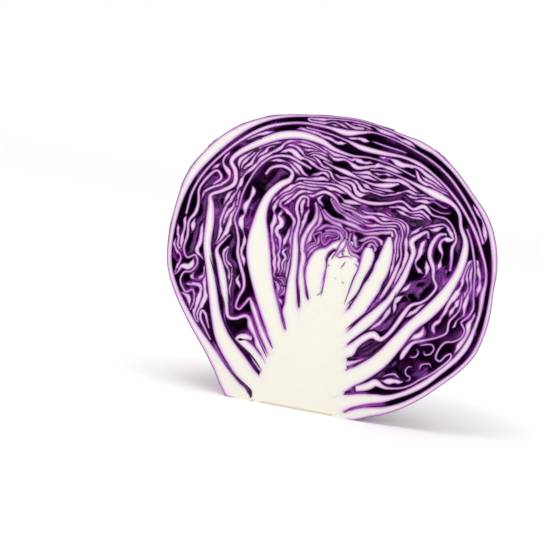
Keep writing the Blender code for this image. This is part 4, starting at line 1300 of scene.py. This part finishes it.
def height_of(tree):
    """Height above the stem end, in metres."""
    return add_node(tree, "ShaderNodeSeparateXYZ", {0: own_place(tree)}).outputs["Z"]


def maths(tree, operation, first, second=0.0):
    """One sum over numbers or sockets."""
    return add_node(tree, "ShaderNodeMath", {0: first, 1: second}, operation=operation).outputs[0]


def blend_colours(tree, factor, first, second):
    """A mix of two colours, each a socket or three numbers."""
    made = add_node(tree, "ShaderNodeMix", data_type="RGBA")
    for socket, value in ((made.inputs[0], factor), (made.inputs[6], first), (made.inputs[7], second)):
        if isinstance(value, bpy.types.NodeSocket):
            tree.links.new(value, socket)
        elif isinstance(value, tuple):
            socket.default_value = (*value, 1.0)
        else:
            socket.default_value = value
    return made.outputs[2]


def spread_out(tree, value, low, high):
    """Map low..high of a value onto 0..1, smoothly."""
    made = add_node(tree, "ShaderNodeMapRange", {"Value": value, "From Min": low, "From Max": high},
                    interpolation_type="SMOOTHSTEP")
    return made.outputs["Result"]


def patches(tree, noise, *more):
    """Soft patches, 0 to 1: noise gives its scale, its detail and where a patch starts and is whole."""
    scale, detail, start, whole = noise
    return spread_out(tree, grain(tree, scale, detail, *more), start, whole)


def tint(tree, colour, second, factor, strength):
    """A colour turned towards a second one by a factor times a strength."""
    return blend_colours(tree, maths(tree, "MULTIPLY", factor, strength), colour, second)


def roughen(tree, shader, height, distance, strength=1.0):
    """Fine relief on a shader."""
    values = {"Height": height, "Distance": distance, "Strength": strength}
    tree.links.new(add_node(tree, "ShaderNodeBump", values).outputs["Normal"], shader.inputs["Normal"])


# Colours of the cabbage, as linear light
OUTSIDE_DARK = (0.075, 0.008, 0.065)
OUTSIDE_MAUVE = (0.20, 0.060, 0.185)
OUTSIDE_PLUM = (0.16, 0.012, 0.13)
VEIN_PINK = (0.46, 0.20, 0.36)
BLOOM = (0.36, 0.27, 0.40)
DRY_TAN = (0.50, 0.36, 0.20)
FOOT_PALE = (0.62, 0.50, 0.58)
SKIN_DARK = (0.030, 0.002, 0.040)
SKIN = (0.095, 0.008, 0.135)
SKIN_VIVID = (0.33, 0.065, 0.43)
SKIN_MAGENTA = (0.28, 0.012, 0.29)
FLESH_SCALE = 4.0        # depth of flesh in mm over which the cut pales to cream
SKIN_PALING = (0.30, 0.10, 0.38)
FLESH_LAVENDER = (0.50, 0.24, 0.53)
FLESH_PALE = (0.68, 0.50, 0.67)
FLESH_WHITE = (0.76, 0.73, 0.71)
CORE_CREAM = (0.80, 0.78, 0.69)
FLOOR_WHITE = (0.98, 0.98, 0.98)

# Depths of flesh, as shares of FLESH_SCALE, at which the cut has each colour
CUT_STOPS = ((0.025, SKIN), (0.055, SKIN_PALING), (0.10, FLESH_LAVENDER),
             (0.20, FLESH_PALE), (0.42, FLESH_WHITE), (0.90, CORE_CREAM))
WOBBLE = 0.30            # of those depths, in mm
SKIN_LINE = 0.05         # depth of flesh in mm over which skin turns to cut
YOUNG_MIDDLE = (0.005, -0.010, 0.088)
YOUNG_REACH = 0.022      # in metres round there, where even the flesh of leaves is purple
DRY_HEIGHTS = (0.0016, 0.0003)    # between which the cut end of the stem dries, in metres
FOOT_HEIGHTS = (0.022, 0.002)     # between which the outside pales, in metres

# Patches: scale and detail of their noise, and the noise where a patch starts and is whole
BLUSH = (70.0, 4.0, 0.52, 0.72)
VIVID = (75.0, 2.0, 0.46, 0.68)
MAGENTA = (60.0, 2.0, 0.55, 0.70)
CLOUD = (28.0, 5.0, 0.36, 0.66)
MOTTLE = (260.0, 4.0, 0.45, 0.75)
BLOOM_PATCHES = (46.0, 6.0, 0.42, 0.72)
CORE_PATCHES = (45.0, 4.0, 0.35, 0.75)


def leaf_colours(tree):
    """Colour of a leaf: purple skin on its sides, and a cut that pales from the skin inwards."""
    depth = read(tree, "flesh")
    wobble = maths(tree, "MULTIPLY", maths(tree, "SUBTRACT", grain(tree, 900.0), 0.5), WOBBLE)
    share = maths(tree, "DIVIDE", maths(tree, "ADD", depth, wobble), FLESH_SCALE)
    cut = ramp(tree, share, CUT_STOPS)
    blush = maths(tree, "MULTIPLY", patches(tree, BLUSH), spread_out(tree, depth, 1.5, 0.2))
    cut = tint(tree, cut, SKIN_VIVID, blush, 0.6)
    away = add_node(tree, "ShaderNodeVectorMath", {0: own_place(tree), 1: YOUNG_MIDDLE}, operation="DISTANCE")
    young = spread_out(tree, away.outputs["Value"], YOUNG_REACH, 0.4 * YOUNG_REACH)
    young = maths(tree, "MULTIPLY", young, spread_out(tree, depth, 1.3, 0.4))
    cut = tint(tree, cut, SKIN_PALING, young, 0.6)
    skin = blend_colours(tree, patches(tree, VIVID), SKIN_DARK, SKIN_VIVID)
    skin = blend_colours(tree, patches(tree, MAGENTA), skin, SKIN_MAGENTA)
    return blend_colours(tree, spread_out(tree, depth, 0.0, SKIN_LINE), skin, cut)


def leaf_material():
    """The leaves inside the head."""
    material, tree, shader = paint("leaf_purple_and_white", 0.45, 0.22)
    tree.links.new(leaf_colours(tree), shader.inputs["Base Color"])
    roughen(tree, shader, grain(tree, 2600.0, 4.0), 0.00008)
    return material


def wrapper_material():
    """The outer leaves: cut like the others, with a veined mauve outside under a pale bloom."""
    material, tree, shader = paint("wrapper_mauve", 0.5)
    outside = blend_colours(tree, patches(tree, CLOUD, 0.6, 0.4), OUTSIDE_DARK, OUTSIDE_MAUVE)
    outside = tint(tree, outside, OUTSIDE_PLUM, patches(tree, MOTTLE), 0.45)
    outside = tint(tree, outside, VEIN_PINK, read(tree, "vein"), 0.75)
    outside = tint(tree, outside, BLOOM, patches(tree, BLOOM_PATCHES, 0.65), 0.35)
    outside = tint(tree, outside, FOOT_PALE, spread_out(tree, height_of(tree), *FOOT_HEIGHTS), 0.8)
    colour = blend_colours(tree, read(tree, "outside"), leaf_colours(tree), outside)
    tree.links.new(colour, shader.inputs["Base Color"])
    coarse = maths(tree, "MULTIPLY", grain(tree, 300.0, 4.0), 1.5)
    fine = maths(tree, "ADD", grain(tree, 1400.0, 5.0), coarse)
    roughen(tree, shader, fine, 0.00022)
    return material


def core_material():
    """Core: cream flesh with faint fibres."""
    material, tree, shader = paint("core_cream", 0.38)
    colour = tint(tree, leaf_colours(tree), FLESH_WHITE, patches(tree, CORE_PATCHES), 0.3)
    colour = tint(tree, colour, DRY_TAN, spread_out(tree, height_of(tree), *DRY_HEIGHTS), 0.6)
    tree.links.new(colour, shader.inputs["Base Color"])
    roughen(tree, shader, grain(tree, 1500.0, 5.0), 0.00010)
    return material


def show_piece(solid, name, nodes, material):
    """Finish a piece, let it stand for CAD nodes and ride on the head."""
    piece = solid.finish(name, material)
    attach(piece, "root")
    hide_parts(*nodes)
    return piece


def show_folds(edges, wrappers, material):
    """The folded skins between the blades: close behind the cut in narrow gaps, deep in hollows."""
    xs = np.arange(GRID_LOW[0], GRID_HIGH[0], FOLD_GRID)
    zs = np.arange(FOLD_LOWEST, GRID_HIGH[1], FOLD_GRID)
    x, z = np.meshgrid(xs, zs, indexing="ij")
    tree = point_tree(edges)
    inside = (rim_share(x, z) < FOLD_OUTLINE) & (core_depth(x, z) < -FOLD_OFF_CORE)
    inside &= inside_wrappers(x, z, wrappers, FOLD_MARGIN)
    number = np.full(x.shape, -1)
    number[inside] = np.arange(inside.sum())
    points = np.stack((x[inside], z[inside]), 1)
    gaps = np.array([tree.find((a, b, 0.0))[2] for a, b in points])
    share = np.clip(gaps - FOLD_NARROW, 0.0, 1.0)
    level = np.full(x.shape, FOLD_SHALLOW)
    level[inside] += FOLD_DEEP * eased(share)
    level[1:-1] = (level[:-2] + 2.0 * level[1:-1] + level[2:]) / 4.0
    level[:, 1:-1] = (level[:, :-2] + 2.0 * level[:, 1:-1] + level[:, 2:]) / 4.0
    depth = level[inside] + FOLD_RIPPLE * RIPPLE_WAVES(points[:, 0], points[:, 1])
    corners = np.stack((number[:-1, :-1], number[1:, :-1], number[1:, 1:], number[:-1, 1:]), -1)
    corners = corners[(corners >= 0).all(-1)]
    solid = Solid()
    solid.add_ring(carry_to_depth(points, depth), 0.0)
    solid.faces = corners.tolist()
    piece = solid.finish("folds_between", material)
    thicken = piece.modifiers.new("thickness", "SOLIDIFY")
    thicken.thickness = FOLD_THICKNESS * MM
    thicken.offset = -1.0
    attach(piece, "root")


def single_fold(rows):
    """A fold's line with its half thickness on both sides, thinning at its ends."""
    line = smooth_curve(rows, STEP)
    from_end = steps_from_end(line) * STEP
    half = line[:, 2] * np.clip(FOLD_END + from_end / FOLD_TAPER, 0.0, 1.0)
    return np.column_stack((line[:, :2], half, half))


def nearest_leaf(string, curves):
    """Name of the large leaf that is nearest to the middle of a blade."""
    middle = string[len(string) // 2]
    return min(curves, key=lambda name: np.min(np.hypot(*(curves[name][:, :2] - middle).T)))


def blade_thickness(string, owner, crowd):
    """Half thickness of a blade on its two sides: what it wants, as far as there is room."""
    x, z = string[:, 0], string[:, 1]
    swelling = np.clip(SWELLING_WAVES(x, z) - 0.5, 0.0, 1.0)
    want = BLADE_HALF * (1.0 + BLADE_VARIES * THICKNESS_WAVES(x, z)) + SWELLING * swelling
    return np.minimum(crowd.room_beside(string, owner), np.clip(want, BLADE_LEAST, BLADE_MOST)[:, None])


def add_blades(solids, curves, pattern, crowd):
    """Draw every blade with the large leaf nearest to it; returns the edges of the blades."""
    source = np.random.default_rng(BLADE_SEED)
    edges = []
    for owner, string in enumerate(pattern.strings):
        half = blade_thickness(string, owner, crowd)
        recess, flesh = source.uniform(*CUT_RECESS), 1.0
        if source.random() < UNCUT_SHARE:
            recess, flesh = source.uniform(*UNCUT_RECESS), UNCUT_FLESH
        home = solids[nearest_leaf(string, curves)]
        home.ribbon(string, half[:, 0], half[:, 1], BLADE_DEPTHS, -recess, ripeness=flesh)
        edges += edges_of(np.column_stack((string, half)))
    return edges


def add_leaves(solids, curves):
    """Draw the large leaves, the two outer ones with their veins."""
    skins = {"wrapper_left": (Veins(71, (-0.45, 0.6, -0.8), (-0.8, 0.2, 1.0)), 0),
             "wrapper_right": (Veins(73, (0.5, 0.5, -0.8), (0.8, 0.3, 1.0)), 1)}
    for index, (name, curve) in enumerate(curves.items()):
        skin = skins.get(name)
        depths = WRAPPER_DEPTHS if skin else LEAF_DEPTHS
        lift = LEAF_LIFT * index
        solids[name].ribbon(curve[:, :2], curve[:, 2], curve[:, 3], depths, lift, True, skin)


def add_lines(solids, curves, folds):
    """Draw the seams, the single folds and the leaves of the growing tip."""
    for seam in SEAMS:
        line = smooth_curve(seam, STEP)
        half = line[:, 2] * np.clip(SEAM_END + steps_from_end(line) / SEAM_TAPER, 0.0, 1.0)
        home = solids[nearest_leaf(line[:, :2], curves)]
        home.ribbon(line[:, :2], half, half, SEAM_DEPTHS, SEAM_LIFT, ripeness=0.0)
    for fold in folds:
        home = solids[nearest_leaf(fold[:, :2], curves)]
        home.ribbon(fold[:, :2], fold[:, 2], fold[:, 3], BLADE_DEPTHS, -FOLD_RECESS, True)
    for rows in TIP_LEAVES:
        line = smooth_curve(rows, 0.3)
        solids["heart_leaf_2"].ribbon(line[:, :2], line[:, 2], line[:, 2], BLADE_DEPTHS, TIP_LIFT)


def build_cabbage():
    """All the pieces of the cabbage half."""
    curves = {name: smooth_curve(rows) for name, rows in {**WRAPPER_LEAVES, **LEAVES}.items()}
    flanks = [smooth_curve([(row[side], row[0], 0.1, 0.1) for row in CORE_FLANKS]) for side in (1, 2)]
    curves = swell_ribs(curves)
    folds = [single_fold(rows) for rows in FOLDS]
    leaf_curves = list(curves.values()) + folds
    pattern = Pattern(leaf_curves, flanks)
    crowd = Crowd(pattern.strings, leaf_curves, flanks)
    solids = {name: Solid() for name in curves}
    edges = add_blades(solids, curves, pattern, crowd)
    add_leaves(solids, curves)
    add_lines(solids, curves, folds)
    for curve in leaf_curves:
        edges += edges_of(curve)
    leaf_look, wrapper_look = leaf_material(), wrapper_material()
    show_folds(np.vstack(edges), leaf_curves[:len(WRAPPER_LEAVES)], leaf_look)
    for name, solid in solids.items():
        outer = name in WRAPPER_LEAVES
        look = wrapper_look if outer else leaf_look
        show_piece(solid, name + "_cut", (name,), look)
    show_piece(build_back_leaf(), "wrapper_back_leaf", ("wrapper_back",), wrapper_look)
    show_piece(build_core(), "core_cut", ("core_stem",), core_material())


# Camera and light, in metres
FRAME_MIDDLE = Vector((-0.0241, -CUT_SETBACK * MM, 0.0649))
FRAME_WIDTH = 0.2615
LENS = 85.0
SENSOR = 36.0
VIEW_ELEVATION = 5.0
VIEW_AZIMUTH = -2.0
VIEW_ROLL = 11.1
FLOOR_SIZE = 8.0
LIGHT_TARGET = (0.0, 0.0, 0.07)
# Name, place, size and power of each light
LIGHTS = (
    ("key", (-0.5, -0.6, 1.1), 0.6, 4.5),
    ("fill", (0.8, -0.7, 0.5), 0.8, 0.3),
)


def add_camera():
    """The camera, at the angle the half is seen from."""
    data = bpy.data.cameras.new("camera")
    data.lens = LENS
    data.sensor_width = SENSOR
    camera = bpy.data.objects.new("camera", data)
    bpy.context.scene.collection.objects.link(camera)
    azimuth, elevation = math.radians(VIEW_AZIMUTH), math.radians(VIEW_ELEVATION)
    back = Vector((math.sin(azimuth) * math.cos(elevation),
                   -math.cos(azimuth) * math.cos(elevation), math.sin(elevation)))
    distance = FRAME_WIDTH * LENS / SENSOR
    facing = (-back).to_track_quat("-Z", "Y").to_matrix().to_4x4()
    roll = Matrix.Rotation(math.radians(VIEW_ROLL), 4, "Z")
    camera.matrix_world = Matrix.Translation(FRAME_MIDDLE + back * distance) @ facing @ roll
    bpy.context.scene.camera = camera


def add_light(name, place, target, size, power):
    """A soft square light that faces a target."""
    data = bpy.data.lights.new(name, "AREA")
    data.shape = "SQUARE"
    data.size = size
    data.energy = power
    light = bpy.data.objects.new(name, data)
    bpy.context.scene.collection.objects.link(light)
    heading = (Vector(target) - Vector(place)).to_track_quat("-Z", "Y")
    light.matrix_world = Matrix.Translation(place) @ heading.to_matrix().to_4x4()


def add_studio():
    """A pale floor and soft white light."""
    bpy.ops.mesh.primitive_plane_add(size=FLOOR_SIZE)
    floor = bpy.context.object
    floor.name = "floor"
    material, _, shader = paint("floor_white", 0.8)
    shader.inputs["Base Color"].default_value = (*FLOOR_WHITE, 1.0)
    floor.data.materials.append(material)
    bpy.context.scene.view_settings.view_transform = "Standard"
    world = bpy.data.worlds.new("studio")
    bpy.context.scene.world = world
    world.use_nodes = True
    background = world.node_tree.nodes["Background"]
    background.inputs["Color"].default_value = (1.0, 1.0, 1.0, 1.0)
    background.inputs["Strength"].default_value = 1.0
    for name, place, size, power in LIGHTS:
        add_light(name, place, LIGHT_TARGET, size, power)


build_cabbage()
add_studio()
add_camera()
